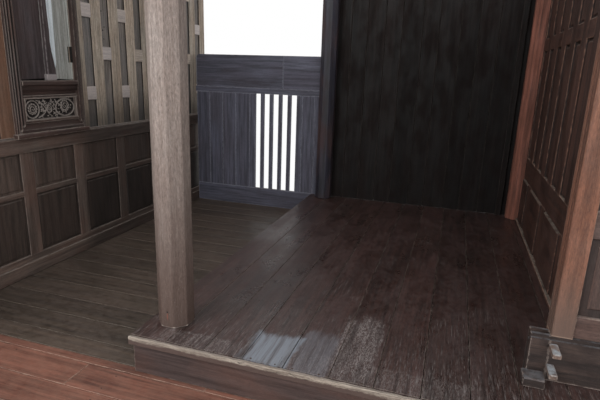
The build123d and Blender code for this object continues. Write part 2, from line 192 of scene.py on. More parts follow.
def newGroup(name, kind, inputs, outputs):
    group = bpy.data.node_groups.new(name, kind)
    sockets = {"f": "NodeSocketFloat", "v": "NodeSocketVector", "i": "NodeSocketInt", "m": "NodeSocketMaterial",
               "g": "NodeSocketGeometry"}
    for label, letter, value in inputs:
        socket = group.interface.new_socket(label, in_out="INPUT", socket_type=sockets[letter])
        if value is not None:
            socket.default_value = value
    for label, letter in outputs:
        group.interface.new_socket(label, in_out="OUTPUT", socket_type=sockets[letter])
    graph = Graph(group)
    return group, graph, graph.add("NodeGroupInput").outputs, graph.add("NodeGroupOutput").inputs


def freshMaterial(name):
    material = bpy.data.materials.new(name)
    material.use_nodes = True
    return material, Graph(material.node_tree)


toneFactor = 7.919  # a timber's tone is the fraction of its seed times this


def makeGrainGroup():
    # Long figure, fine fibres, pores and drying checks, all running along the timber's own x.
    group, g, given, out = newGroup(
        "timberGrain", "ShaderNodeTree",
        (("Point", "v", None), ("Seed", "f", 0.0), ("Figure Scale", "f", 40.0), ("Fibre Scale", "f", 300.0),
         ("Waviness", "f", 0.02), ("Check Amount", "f", 0.5)),
        (("Figure", "f"), ("Fibre", "f"), ("Pore", "f"), ("Check", "f")))
    shift = g.vec("SCALE", (13.7, 7.3, 3.1), scale=given["Seed"])
    place = g.move(given["Point"], shift)
    bend = g.noise(g.stretch(place, (1.3, 5.0, 5.0)), 1.0, 2.0)
    bend = g.times(g.minus(bend, 0.5), given["Waviness"])
    bent = g.move(place, g.join(0.0, bend, bend))
    figure = g.noise(g.stretch(bent, (0.045, 1.0, 1.0)), given["Figure Scale"], 4.0, 0.62)
    fibre = g.noise(g.stretch(bent, (0.03, 1.0, 1.0)), given["Fibre Scale"], 3.0, 0.7)
    pore = g.noise(g.stretch(bent, (0.05, 1.0, 1.0)), 1150.0, 1.0, 0.5)
    pore = g.remap(pore, 0.60, 0.72)
    ridge = g.noise(g.stretch(bent, (0.03, 1.0, 1.0)), 30.0, 3.0, 0.6)
    ridge = g.math("ABSOLUTE", g.minus(ridge, 0.5))
    check = g.remap(ridge, 0.004, 0.0, 0.0, 1.0)
    where = g.remap(g.noise(g.stretch(place, (0.6, 3.0, 3.0)), 2.2, 1.0), 0.50, 0.62)
    check = g.times(g.times(check, where), given["Check Amount"], clamp=True)
    for label, value in (("Figure", figure), ("Fibre", fibre), ("Pore", pore), ("Check", check)):
        g.put(out[label], value)
    return group


def makeEdgeGroup():
    # How near a point is to the arrises of its own timber, broken up so that the wear looks ragged.
    group, g, given, out = newGroup(
        "arrisWear", "ShaderNodeTree",
        (("Point", "v", None), ("Half", "v", None), ("Seed", "f", 0.0), ("Width", "f", 0.006), ("Ragged", "f", 0.5)),
        (("Mask", "f"),))
    gap = g.split(g.vec("SUBTRACT", given["Half"], g.vec("ABSOLUTE", given["Point"])))
    low = g.math("MINIMUM", gap[0], gap[1])
    high = g.largest(gap[0], gap[1])
    middle = g.largest(low, g.math("MINIMUM", high, gap[2]))
    place = g.move(given["Point"], g.vec("SCALE", (3.1, 9.7, 5.3), scale=given["Seed"]))
    broken = g.noise(g.stretch(place, (0.35, 1.0, 1.0)), 90.0, 4.0, 0.65)
    reach = g.times(given["Width"], g.remap(broken, 0.35, 0.70, 0.0, 2.0, smooth=False))
    reach = g.plus(g.times(reach, given["Ragged"]), g.times(given["Width"], g.minus(1.0, given["Ragged"])))
    ratio = g.over(middle, g.largest(reach, 0.0001))
    g.put(out["Mask"], g.remap(ratio, 1.0, 0.35, 0.0, 1.0))
    return group


def makeWeatherGroup():
    # Broad stains, fine pale specks, and dust that lies on faces that look up.
    group, g, given, out = newGroup(
        "weathering", "ShaderNodeTree",
        (("Point", "v", None), ("Seed", "f", 0.0), ("Stain Scale", "f", 5.0), ("Speck Scale", "f", 260.0)),
        (("Stain", "f"), ("Speck", "f"), ("Dust", "f"), ("Tone", "f")))
    place = g.move(given["Point"], g.vec("SCALE", (5.9, 2.3, 8.1), scale=given["Seed"]))
    stain = g.noise(g.stretch(place, (0.5, 1.0, 1.0)), given["Stain Scale"], 4.0, 0.6)
    g.put(out["Stain"], g.remap(stain, 0.36, 0.66))
    speck = g.noise(place, given["Speck Scale"], 2.0, 0.6)
    g.put(out["Speck"], g.remap(speck, 0.66, 0.74))
    lying = g.remap(g.facingUp(), 0.45, 0.95)
    settled = g.remap(g.noise(place, 24.0, 4.0, 0.7), 0.3, 0.62)
    g.put(out["Dust"], g.times(lying, settled))
    g.put(out["Tone"], g.math("FRACT", g.times(given["Seed"], toneFactor)))
    return group


grainGroup = makeGrainGroup()
edgeGroup = makeEdgeGroup()
weatherGroup = makeWeatherGroup()

plainTimber = {
    "dark": "2c2320", "light": "5a4b44", "accent": "5a3a2e", "worn": "8d8177", "dust": "8a8079",
    "accentAmount": 0.35, "wornAmount": 0.5, "dustAmount": 0.4, "toneSpread": 0.25, "speckAmount": 0.1,
    "wearWidth": 0.005, "ragged": 0.7, "figureScale": 42.0, "fibreScale": 300.0, "waviness": 0.02,
    "checks": 0.5, "poreAmount": 0.45, "stainScale": 5.0, "speckScale": 260.0, "bleach": 0.0,
    "rough": (0.55, 0.85), "bump": 0.0007, "gloss": 0.4, "figureLow": 0.34, "figureHigh": 0.66,
    "octagon": False,  # arrises of an eight-sided post
    "sunken": None,  # painted shade and highlight: depth below and above the middle, in metres, where carving turns from dark ground to pale crests
    "tread": 0.0,  # pale dry wear towards the front end of a plank, and in patches
    "nose": None,  # colour below the pale, frayed top of the nosing
    "patches": (),  # worn places and painted reflections: middle x and y in metres, half sizes, amount, and whether it is a glossy one, which is a bluish painted reflection
    "reveal": 0.0,  # painted shade: darkness of a frame's faces that look into a recessed panel
    "creviceShade": 0.0,  # painted shade: darkness in narrow grooves, found by ambient occlusion
    "mottle": (0.12, 190.0),  # how strongly short flecks change the colour, and their scale
    "crest": 0.0,  # paleness of crests and arrises, partly rubbed wear and partly painted highlight, found from how thin the wood is there
    "foot": None,  # colour towards the foot of an upright, and the height it reaches
    "murk": (),  # painted shade on parts of a wall: axis, where it starts, where it is full, and how dark
    "mark": None,  # one stain: place and half size in row-frame metres, and its colour
}


def patchMask(g, place, middle, halfSize):
    # A ragged patch with rather straight sides on a floor, in row-frame metres.
    offset = g.vec("ABSOLUTE", g.vec("SUBTRACT", place, (*middle, 0.0)))
    ratio = g.split(g.stretch(offset, (1 / halfSize[0], 1 / halfSize[1], 0.0)))
    reach = g.largest(ratio[0], ratio[1])
    ragged = g.noise(g.stretch(place, (1.0, 0.25, 1.0)), 26.0, 4.0, 0.65)
    reach = g.plus(reach, g.times(g.minus(ragged, 0.5), 1.0))
    return g.remap(reach, 1.05, 0.7)


def octagonPoint(g, point, half):
    # Folds the place on a post into the place on one flat, so that wear follows all eight arrises.
    x, y, z = g.split(point)[:3]
    fold = g.math("PINGPONG", g.math("ARCTAN2", z, y), math.pi / 8)
    radius = g.over(g.split(half)[2], 3.0)
    return g.join(x, g.times(radius, g.math("TANGENT", fold)), 0.0)


def timberMaterial(name, changes):
    spec = {**plainTimber, **changes}
    tints = {key: colour(spec[key]) for key in ("dark", "light", "accent", "worn", "dust")}
    material, g = freshMaterial(name)
    g.tree.nodes.clear()
    point, half, seed = (g.add("ShaderNodeAttribute", attribute_name=label).outputs[kind] for label, kind in (
        ("boardPoint", "Vector"), ("boardHalf", "Vector"), ("boardSeed", "Fac")))
    grain = g.group(grainGroup, {"Point": point, "Seed": seed, "Figure Scale": spec["figureScale"],
                                 "Fibre Scale": spec["fibreScale"], "Waviness": spec["waviness"],
                                 "Check Amount": spec["checks"]})
    edge = g.group(edgeGroup, {"Point": octagonPoint(g, point, half) if spec["octagon"] else point, "Seed": seed,
                               "Half": half, "Width": spec["wearWidth"], "Ragged": spec["ragged"]})
    weather = g.group(weatherGroup, {"Point": point, "Seed": seed, "Stain Scale": spec["stainScale"],
                                     "Speck Scale": spec["speckScale"]})
    figure, fibre, pore, check = (grain[k] for k in ("Figure", "Fibre", "Pore", "Check"))
    stain, speck, dust, tone = (weather[k] for k in ("Stain", "Speck", "Dust", "Tone"))
    place, here, reach = g.place(), g.split(point), g.split(half)
    fromEnd = g.plus(reach[0], here[0])
    fromTop = g.minus(reach[2], here[2])

    # the wood itself
    light = g.plus(g.times(g.remap(figure, spec["figureLow"], spec["figureHigh"]), 0.65),
                   g.times(g.remap(fibre, 0.3, 0.7), 0.35))
    shade = g.mix(light, tints["dark"], tints["light"])
    shade = g.mix(g.times(stain, spec["accentAmount"]), shade, tints["accent"])
    spread = spec["toneSpread"]
    shade = g.dim(shade, g.remap(tone, 0.0, 1.0, 1 - spread, 1 + spread, smooth=False))
    amount, scale = spec["mottle"]
    flecks = g.noise(g.stretch(point, (0.3, 1.0, 1.0)), scale, 3.0, 0.7)
    shade = g.dim(shade, g.remap(flecks, 0.3, 0.7, 1 - amount, 1 + amount, smooth=False))
    if spec["bleach"]:
        shade = g.mix(g.times(g.remap(tone, 0.88, 0.97), spec["bleach"]), shade, tints["worn"])
    # painted shade on the carving's ground and painted highlight on its crests, by depth
    if spec["sunken"]:
        risen = g.remap(here[2], *spec["sunken"])
        shade = g.mix(risen, g.mix(0.8, shade, colour("0b0807")), g.mix(0.65, shade, tints["worn"]))
    hollow = g.largest(g.times(pore, spec["poreAmount"]), check)
    shade = g.mix(hollow, shade, colour("120d0b"))

    # painted shade in reveals, grooves and darker parts of walls, then colour at the foot and one stain
    # painted shade: a frame's side faces that look into a recessed panel are darkened
    if spec["reveal"]:
        side = g.times(g.remap(fromTop, 0.0035, 0.0055), g.remap(fromTop, 0.020, 0.017))
        side = g.times(side, g.remap(g.facingUp(), 0.6, 0.2))
        shade = g.mix(g.times(side, spec["reveal"]), shade, colour("0c0808"))
    # painted shade: narrow grooves and creases are darkened by ambient occlusion
    if spec["creviceShade"]:
        narrow = g.remap(g.openness(0.016), 0.75, 0.35)
        shade = g.mix(g.times(narrow, spec["creviceShade"]), shade, colour("0a0706"))
    if spec["foot"]:
        tint, height = spec["foot"]
        shade = g.mix(g.remap(fromEnd, height, 0.0, 0.0, 0.8), shade, colour(tint))
        shade = g.mix(g.remap(fromEnd, 0.007, 0.003, 0.0, 0.4), shade, tints["worn"])
    # painted shade: the colour darkens along the given axis, as set for each wall
    for way, start, full, amount in spec["murk"]:
        shade = g.dim(shade, g.remap(g.split(place)[way], start, full, 1.0, 1 - amount))
    if spec["mark"]:
        middle, size, tint = spec["mark"]
        distance = g.vec("LENGTH", g.stretch(g.vec("SUBTRACT", place, middle), tuple(1 / k for k in size)))
        distance = g.plus(distance, g.times(g.minus(fibre, 0.5), 1.6))
        shade = g.mix(g.remap(distance, 1.1, 0.5, 0.0, 0.6), shade, colour(tint))

    # wear and dust, with painted highlight on crests and painted reflection in glossy floor patches
    wear = g.times(edge["Mask"], g.remap(fibre, 0.25, 0.6, 0.5, 1.0))
    shade = g.mix(g.times(wear, spec["wornAmount"]), shade, tints["worn"])
    pale = g.largest(g.times(dust, spec["dustAmount"]), g.times(speck, spec["speckAmount"]))
    # partly rubbed wear, partly painted highlight: thin crests and arrises turn pale
    if spec["crest"]:
        thin = g.remap(g.openness(0.010, inside=True), 0.80, 0.40)
        pale = g.largest(pale, g.times(g.times(thin, g.remap(fibre, 0.25, 0.6, 0.4, 1.0)), spec["crest"]))
    if spec["tread"]:
        trodden = g.remap(fromEnd, 0.75, 0.0, 0.0, 1.0)
        patch = g.noise(g.move(point, g.vec("SCALE", (0.4, 0.19, 0.0), scale=seed)), 2.3, 2.0)
        flecks = g.noise(g.stretch(point, (0.06, 1.0, 1.0)), 190.0, 4.0, 0.75)
        dry = g.largest(trodden, g.times(g.remap(patch, 0.48, 0.66), 0.6))
        pale = g.largest(pale, g.times(g.times(dry, g.remap(flecks, 0.50, 0.72)), spec["tread"]))
    paintedSheen = 0.0
    for x, y, halfX, halfY, amount, glossy in spec["patches"]:
        mask = g.times(patchMask(g, place, (x, y), (halfX, halfY)), amount)
        if glossy:
            paintedSheen = g.largest(paintedSheen, g.times(mask, g.remap(figure, 0.32, 0.6, 0.3, 1.0)))
        else:
            dots = g.remap(g.noise(g.stretch(place, (1.0, 0.22, 1.0)), 330.0, 3.0, 0.7), 0.42, 0.62)
            pale = g.largest(pale, g.times(mask, g.times(dots, g.remap(figure, 0.35, 0.6, 0.35, 1.0))))
    shade = g.mix(pale, shade, tints["dust"])
    # glossy patches paint a bluish reflection of bright light into the colour
    if spec["patches"]:
        shade = g.mix(paintedSheen, shade, colour("80868f"))
    if spec["nose"]:
        torn = g.noise(g.stretch(place, (0.25, 1.0, 1.0)), 70.0, 4.0, 0.75)
        below = g.remap(g.plus(fromTop, g.times(torn, 0.03)), 0.028, 0.038)
        shade = g.mix(below, shade, colour(spec["nose"]))

    rough = g.plus(g.remap(stain, 0.0, 1.0, *spec["rough"], smooth=False), g.times(g.largest(wear, pale), 0.25),
                   clamp=True)
    height = g.plus(g.times(figure, 0.5), g.times(fibre, 0.55))
    height = g.minus(height, g.times(hollow, 0.9))
    bump = g.add("ShaderNodeBump", {"Height": height, "Distance": spec["bump"], "Strength": 0.9}).outputs[0]
    shader = g.add("ShaderNodeBsdfPrincipled", {"Base Color": shade, "Roughness": rough, "Normal": bump,
                                                "Specular IOR Level": spec["gloss"]})
    g.add("ShaderNodeOutputMaterial", {0: shader.outputs[0]})
    return material


finishes = {  # what each differs in from the plain timber
    "underfloor_timber": dict(dark="241c18", light="4c3e36"),
    "red_deck_planks": dict(dark="452a25", light="8f6051", accent="94604c", worn="a8907f", wearWidth=0.004,
        wornAmount=0.6, dustAmount=0.12, dust="9a8070", rough=(0.40, 0.62), gloss=0.45),
    "dark_platform_planks": dict(dark="1c110f", light="3f2a25", accent="3c2321", worn="93877c", wearWidth=0.003,
        wornAmount=0.5, dustAmount=0.06, dust="8f8886", rough=(0.26, 0.48), gloss=0.45, speckAmount=0.25,
        figureScale=60.0, fibreScale=380.0, tread=0.7, bump=0.0005, mottle=(0.35, 160.0),
        # the two glossy patches are a painted reflection on the polished planks; the other three are pale dry wear
        patches=((0.165, -1.09, 0.12, 0.14, 0.9, True), (0.36, -1.06, 0.09, 0.20, 0.3, True),
                 (0.525, -0.93, 0.11, 0.30, 0.75, False), (0.62, -1.14, 0.5, 0.10, 0.4, False),
                 (-0.20, -1.15, 0.22, 0.07, 0.6, False))),
    "nosing_timber": dict(dark="5e534c", light="b0a598", accent="8a7c70", worn="b3a99d", figureScale=120.0,
        fibreScale=420.0, nose="4f403b", checks=1.0, poreAmount=0.8, toneSpread=0.0, bump=0.0015),
    # painted shade: a darker, greyer copy of the deck planks for the passage
    "passage_deck_planks": dict(dark="2b2420", light="55493f", accent="4e3c32", worn="857b70", wearWidth=0.004,
        wornAmount=0.3, dustAmount=0.12, rough=(0.35, 0.6)),
    "riser_timber": dict(dark="292120", light="4a3e3c", rough=(0.5, 0.7), toneSpread=0.1),
    "grey_post_timber": dict(dark="6f645e", light="8b807a", accent="7d6d66", worn="beb3aa", wearWidth=0.009,
        wornAmount=0.85, ragged=0.7, checks=0.6, mottle=(0.32, 170.0), speckAmount=0.5, speckScale=170.0,
        dust="a39a93", figureScale=130.0, figureLow=0.40, figureHigh=0.60, bump=0.0014, octagon=True, toneSpread=0.0,
        foot=("402c24", 1.2), mark=((-0.362, -1.0955, 0.398), (0.004, 0.01, 0.020), "854a3c")),
    "dark_post_timber": dict(dark="492c23", light="9f6453", worn="7a706a", wearWidth=0.008, octagon=True,
        toneSpread=0.1),
    "shaded_post_timber": dict(dark="121117", light="31303b", worn="383844", wearWidth=0.008, octagon=True,
        toneSpread=0.1),
    "beam_timber": dict(dark="2a211d", light="54453e"),
    "grey_wall_timber": dict(dark="3b322e", light="72645c", accent="6b4a3d", worn="8d8279", wearWidth=0.005,
        wornAmount=0.45, dustAmount=0.55, reveal=0.7, murk=((1, -0.1, 0.15, 0.5),)),
    "grey_wall_panels": dict(dark="362e2a", light="695a52", accent="5f4438", worn="857a71", wornAmount=0.4,
        dustAmount=0.5, murk=((1, -0.1, 0.15, 0.55), (2, 0.72, 0.68, 0.5))),
    # painted light: a paler copy of the grey wall timber for the lit upper wall, with painted shade lower down
    "bright_wall_timber": dict(dark="746b60", light="c6b8a8", accent="a9907c", worn="c0b8ba", wearWidth=0.004,
        wornAmount=0.4, dustAmount=0.5, checks=0.3, toneSpread=0.22, bleach=0.62, mottle=(0.2, 120.0),
        figureScale=70.0, reveal=0.95, speckAmount=0.2, murk=((2, 1.40, 1.08, 0.65),)),
    # painted light: paler boards for the lit upper wall, with painted shade lower down
    "sunk_board_timber": dict(dark="4d4743", light="91877f", accent="6e7175", worn="9c9692", checks=0.2,
        toneSpread=0.25, figureScale=80.0, wornAmount=0.2, accentAmount=0.4, murk=((2, 1.40, 1.08, 0.55),)),
    "front_strip_timber": dict(dark="4c392f", light="836a5a", accent="7f5842", worn="9a8474", toneSpread=0.1,
        reveal=0.9, accentAmount=0.5),
    "window_timber": dict(dark="221816", light="4c3c37", accent="452820", worn="9a8d84", dustAmount=0.75,
        wearWidth=0.004, wornAmount=0.75, creviceShade=0.95, crest=0.75),
    "bead_timber": dict(dark="4a403d", light="82766f", worn="a89d94", creviceShade=0.6, crest=0.5),
    "carved_timber": dict(dark="211a1b", light="574e4f", worn="a39a93", dustAmount=0.6, sunken=(-0.001, 0.005),
        poreAmount=0.2, figureScale=90.0, creviceShade=0.7),
    "dark_leaf_timber": dict(dark="241d1c", light="50474a", worn="a8a0a0", accentAmount=0.2, toneSpread=0.15,
        figureScale=60.0, bleach=0.7),
    "pale_leaf_timber": dict(dark="767672", light="b7bab6", accent="938980", worn="b5b6b0", toneSpread=0.1,
        figureScale=60.0, checks=0.2, accentAmount=0.25),
    # painted light: near-white colour for the lit edge beside the window's astragal
    "bare_strip_timber": dict(dark="b2bcc2", light="dfe6ea", accent="c9ced0", worn="eef0f0", toneSpread=0.0,
        checks=0.2, accentAmount=0.3, poreAmount=0.1),
    "parapet_timber": dict(dark="2e2e37", light="5f6070", accent="4c454a", worn="8f909c", wearWidth=0.008,
        dustAmount=0.55, toneSpread=0.12),
    "back_wall_timber": dict(dark="0f0e0e", light="272221", accent="251916", worn="49433f", gloss=0.15,
        stainScale=9.0, murk=((2, 2.35, 1.6, 0.35),)),
    "right_wall_timber": dict(dark="1d1210", light="40281f", accent="4e2b1e", worn="8a6858", dustAmount=0.7,
        dust="8f857a", wearWidth=0.006, wornAmount=0.75, reveal=0.6),
    "sill_timber": dict(dark="201816", light="4c3c36", accent="1d1412", accentAmount=0.7, stainScale=11.0,
        worn="8a7d76", wearWidth=0.006, wornAmount=0.55, dustAmount=0.4, dust="7c7e83", speckAmount=0.2),
    "peg_timber": dict(dark="4a3a34", light="7c6a60", worn="a89d94", dust="979da2", dustAmount=0.9, wearWidth=0.005),
    "orange_stile_timber": dict(dark="412b22", light="7a5342", accent="744632", mottle=(0.25, 150.0), worn="a48c7c",
        wearWidth=0.003, speckAmount=0.45, speckScale=420.0, foot=("5a4a42", 0.35)),
    "front_wall_timber": dict(dark="2b201d", light="564540", accent="513830", worn="8f7f73", dustAmount=0.6,
        toneSpread=0.15, reveal=0.6, mottle=(0.25, 150.0)),
}
materials = {slotName: timberMaterial(camel(slotName), changes) for slotName, changes in finishes.items()}
print("materials ready")


# Timbers

seedSource = random.Random(41)


def nextSeed(tone=None):
    # The tone runs from 0, dark, to 1, pale.
    drawn = seedSource.uniform(0.08, 0.88)
    return (seedSource.randrange(4, 70) + (drawn if tone is None else tone)) / toneFactor


def ripple(seed, s, t, length):
    # A smooth unevenness between about -1 and 1, with waves of about the given length.
    phases = [math.sin(seed * k) * 6.283 for k in (1.7, 2.9, 4.3, 5.9)]
    k = 2 * math.pi / length
    return (0.45 * np.sin(k * s + phases[0] + 0.012 * t) + 0.3 * np.sin(1.73 * k * s + phases[1] - 0.02 * t)
            + 0.25 * np.sin(3.1 * k * s + phases[2] + 0.05 * t))


def loftFaces(n, rings):
    # The faces of a closed solid made of rings with n points each.
    sides = [(k * n + i, k * n + (i + 1) % n, (k + 1) * n + (i + 1) % n, (k + 1) * n + i)
             for k in range(rings - 1) for i in range(n)]
    return [tuple(range(n))[::-1], *sides, tuple(range((rings - 1) * n, rings * n))]


def fillLayer(mesh, label, rows):
    # One number or vector for each vertex.
    rows = np.asarray(rows, np.float32)
    kind, key = ("FLOAT_VECTOR", "vector") if rows.ndim == 2 else ("FLOAT", "value")
    mesh.attributes.new(label, kind, "POINT").data.foreach_set(key, rows.ravel())


class Timbers:
    # Gathers solids in bay millimetres; each carries its own grain place, half size and seed.
    def __init__(self):
        self.points, self.faces, self.grain, self.half, self.seed = [], [], [], [], []
        self.count = 0

    def add(self, points, faces, along, out, centre=None, half=None, seed=None):
        points = np.asarray(points, float)
        if centre is None:
            centre = (points.min(0) + points.max(0)) / 2
        along, out = axis(along), axis(out)
        grain = (points - centre) @ np.stack([along, np.cross(out, along), out], 1)
        half = np.abs(grain).max(0) if half is None else np.asarray(half, float)
        self.points.append(points)
        self.faces += [tuple(index + self.count for index in face) for face in faces]
        self.grain.append(grain)
        self.half.append(np.tile(half, (len(points), 1)))
        self.seed.append(np.full(len(points), nextSeed() if seed is None else seed))
        self.count += len(points)

    def bar(self, profile, along, out, start, length, endRound=1.5, step=0, uneven=0.0, wave=300.0, seed=None):
        # A profile of (across, out) points, anticlockwise seen against the grain, run along from start.
        seed = nextSeed() if seed is None else seed
        g, o = axis(along), axis(out)
        a = np.cross(o, g)
        flat = np.asarray(profile, float)
        middle = (flat.min(0) + flat.max(0)) / 2
        halfSize = (flat.max(0) - flat.min(0)) / 2
        parts = max(1, int((length - 2 * endRound) // step)) if step else 1
        stations = [0.0, *np.linspace(endRound, length - endRound, parts + 1), length]
        rings = []
        for s in stations:
            ring = flat.copy()
            if s in (0, length):
                ring = middle + (flat - middle) * np.maximum(1 - endRound / halfSize, 0.2)
            if uneven:
                lean, side = np.clip((flat - middle) / halfSize, -1, 1).T
                ring[:, 1] -= uneven * (0.5 - 0.5 * ripple(seed, s, flat[:, 0], wave)) * np.maximum(side, 0)
                ring[:, 0] -= uneven * 0.7 * (0.5 - 0.5 * ripple(seed + 3, s, flat[:, 1], wave * 0.8)) * lean
            rings.append(np.asarray(start, float) + s * g + ring[:, :1] * a + ring[:, 1:] * o)
        centre = np.asarray(start, float) + length / 2 * g + middle[0] * a + middle[1] * o
        self.add(np.concatenate(rings), loftFaces(len(flat), len(stations)), along, out, centre,
                 (length / 2, *halfSize), seed)

    def board(self, low, high, along, out, chamfer=2.0, back=1.5, endRound=1.5, **more):
        # A squared timber between two corners; chamfer is on its front arrises, one size or (left, right).
        low, high = np.minimum(low, high).astype(float), np.maximum(low, high).astype(float)
        g, o = axis(along), axis(out)
        length, w, d = (abs((high - low) @ v) / 2 for v in (g, np.cross(o, g), o))
        left, right = chamfer if isinstance(chamfer, tuple) else (chamfer, chamfer)
        profile = [(-w + back, -d), (w - back, -d), (w, -d + back), (w, d - right), (w - right, d), (-w + left, d),
                   (-w, d - left), (-w, -d + back)]
        self.bar(profile, along, out, (low + high) / 2 - length * g, 2 * length, endRound, **more)

    def object(self, slotName, *nodes, name=None, smooth=0.0, finish=None):
        # The piece is named after the first node it replaces, unless it has a name of its own.
        name = name or camel(nodes[0])
        mesh = bpy.data.meshes.new(name)
        mesh.from_pydata(((np.concatenate(self.points) - rowOrigin) / 1000).tolist(), [], self.faces)
        solid = bmesh.new()
        solid.from_mesh(mesh)
        bmesh.ops.recalc_face_normals(solid, faces=solid.faces)
        solid.to_mesh(mesh)
        solid.free()
        fillLayer(mesh, "boardPoint", np.concatenate(self.grain) / 1000)
        fillLayer(mesh, "boardHalf", np.concatenate(self.half) / 1000)
        fillLayer(mesh, "boardSeed", np.concatenate(self.seed))
        if smooth:
            mesh.shade_smooth()
            mesh.set_sharp_from_angle(angle=math.radians(smooth))
        mesh.materials.append(materials[finish or slotName])
        dress(link(bpy.data.objects.new(name, mesh)), nodes)


def dress(piece, nodes):
    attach(piece, "root")
    if nodes:
        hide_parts(*nodes)
    print(piece.name, len(piece.data.polygons), "faces")


def bayBox(node):
    return [np.array(corner) * 1000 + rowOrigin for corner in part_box(node)]


def nodeBoard(node, slotName, along, out, chamfer=2.0, **more):
    timber = Timbers()
    timber.board(*bayBox(node), along, out, chamfer, **more)
    timber.object(slotName, node)


def solidBoxes(node):
    # The corner pairs of a node's separate solids, in bay millimetres.
    solid = bmesh.new()
    solid.from_mesh(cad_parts[node].data)
    bmesh.ops.remove_doubles(solid, verts=solid.verts, dist=1e-5)
    left, boxes = set(solid.verts), []
    while left:
        island, fresh = set(), {left.pop()}
        while fresh:
            island |= fresh
            fresh = {edge.other_vert(v) for v in fresh for edge in v.link_edges} - island
        left -= island
        places = np.array([v.co for v in island]) * 1000 + rowOrigin
        boxes.append((places.min(0), places.max(0)))
    solid.free()
    return sorted(boxes, key=lambda box: tuple(box[0]))


# Repeated squared timbers by Geometry Nodes: one vertex per timber carries its size, turn and seed.

def makeTimberTree():
    group, g, given, out = newGroup(
        "squaredTimbers", "GeometryNodeTree",
        (("Geometry", "g", None), ("Edge Round", "f", 0.002), ("End Round", "f", 0.002), ("Unevenness", "f", 0.001),
         ("Wave Length", "f", 0.4), ("Steps Along", "i", 24), ("Steps Across", "i", 5), ("Seed", "i", 3),
         ("Material", "m", None)),
        (("Geometry", "g"),))
    group.is_modifier = True
    steps, lanes = given["Steps Along"], given["Steps Across"]
    cube = g.add("GeometryNodeMeshCube", {"Size": (2, 2, 2), "Vertices X": steps, "Vertices Y": lanes,
                                          "Vertices Z": 4})
    position = g.add("GeometryNodeInputPosition").outputs[0]
    marked = g.store(cube.outputs[0], "unitPoint", position)
    seated = g.store(given["Geometry"], "boardCentre", position)
    spread = g.add("GeometryNodeInstanceOnPoints", {"Points": seated, "Instance": marked})
    solid = g.add("GeometryNodeRealizeInstances", {"Geometry": spread.outputs[0]}).outputs[0]
    halfSize = g.vec("SCALE", g.read("boardSize"), scale=0.5)
    unit, half = g.split(g.read("unitPoint")), g.split(halfSize)
    seed = g.plus(g.read("boardSeed", "FLOAT"), given["Seed"])
    edge, end = given["Edge Round"], given["End Round"]
    extreme = [g.math("GREATER_THAN", g.math("ABSOLUTE", u), 0.999) for u in unit[:3]]

    def spreadOut(k, count, margin):
        # Unit places inside the outer loops are stretched to the half size less its rounding.
        inner = g.minus(1.0, g.over(2.0, g.minus(count, 1.0)))
        room = g.minus(half[k], margin)
        inside = g.times(g.over(unit[k], inner), room)
        outside = g.times(unit[k], half[k])
        return g.plus(g.times(outside, extreme[k]), g.times(inside, g.minus(1.0, extreme[k])))

    bevel = 0.293  # how far the middle of a rounded arris lies inside the square corner
    longArris, endSide, endTop = (g.times(extreme[i], extreme[j]) for i, j in ((1, 2), (0, 1), (0, 2)))
    endArris = g.times(extreme[0], g.largest(extreme[1], extreme[2]))
    pulls = (g.times(endArris, end), g.times(g.largest(longArris, endSide), edge),
             g.largest(g.times(longArris, edge), g.times(endTop, end)))
    spreads = (spreadOut(0, steps, end), spreadOut(1, lanes, edge), spreadOut(2, 4.0, end))
    x, y, z = (g.minus(place, g.times(g.times(pull, bevel), g.math("SIGN", u)))
               for place, pull, u in zip(spreads, pulls, unit[:3]))
    local = g.join(x, y, z)
    wavePlace = g.move(g.vec("SCALE", local, scale=g.over(1.0, given["Wave Length"])),
                      g.vec("SCALE", (3.7, 1.9, 5.1), scale=seed))
    dip = g.times(g.noise(wavePlace, 1.0, 2.0, 0.5), given["Unevenness"])
    dip = g.times(dip, g.remap(unit[2], 0.0, 0.9))
    nibble = g.noise(g.move(wavePlace, (9.1, 4.3, 7.7)), 3.0, 2.0, 0.6)
    nibble = g.times(g.times(nibble, extreme[1]), g.times(given["Unevenness"], 0.8))
    nibble = g.times(nibble, g.math("SIGN", unit[1]))
    uneven = g.vec("SUBTRACT", local, g.join(0.0, nibble, dip))
    # the grain's place is stored before the points move
    kept = g.store(g.store(solid, "boardPoint", uneven), "boardHalf", halfSize)
    turned = g.add("ShaderNodeVectorRotate", {"Vector": uneven, "Rotation": g.read("boardTurn")},
                   rotation_type="EULER_XYZ")
    placed = g.add("GeometryNodeSetPosition", {
        "Geometry": kept, "Position": g.move(turned.outputs[0], g.read("boardCentre"))})
    final = g.add("GeometryNodeRealizeInstances", {"Geometry": placed.outputs[0]})
    painted = g.add("GeometryNodeSetMaterial", {"Geometry": final.outputs[0], "Material": given["Material"]})
    g.put(out["Geometry"], painted.outputs[0])
    return group


timberTree = makeTimberTree()
turns = {("x", "z"): (0, 0, 0), ("y", "z"): (0, 0, math.pi / 2), ("z", "-y"): (0, -math.pi / 2, -math.pi / 2),
         ("z", "x"): (0, math.pi / 2, 0), ("x", "-y"): (math.pi / 2, 0, 0), ("z", "-x"): (0, -math.pi / 2, 0)}


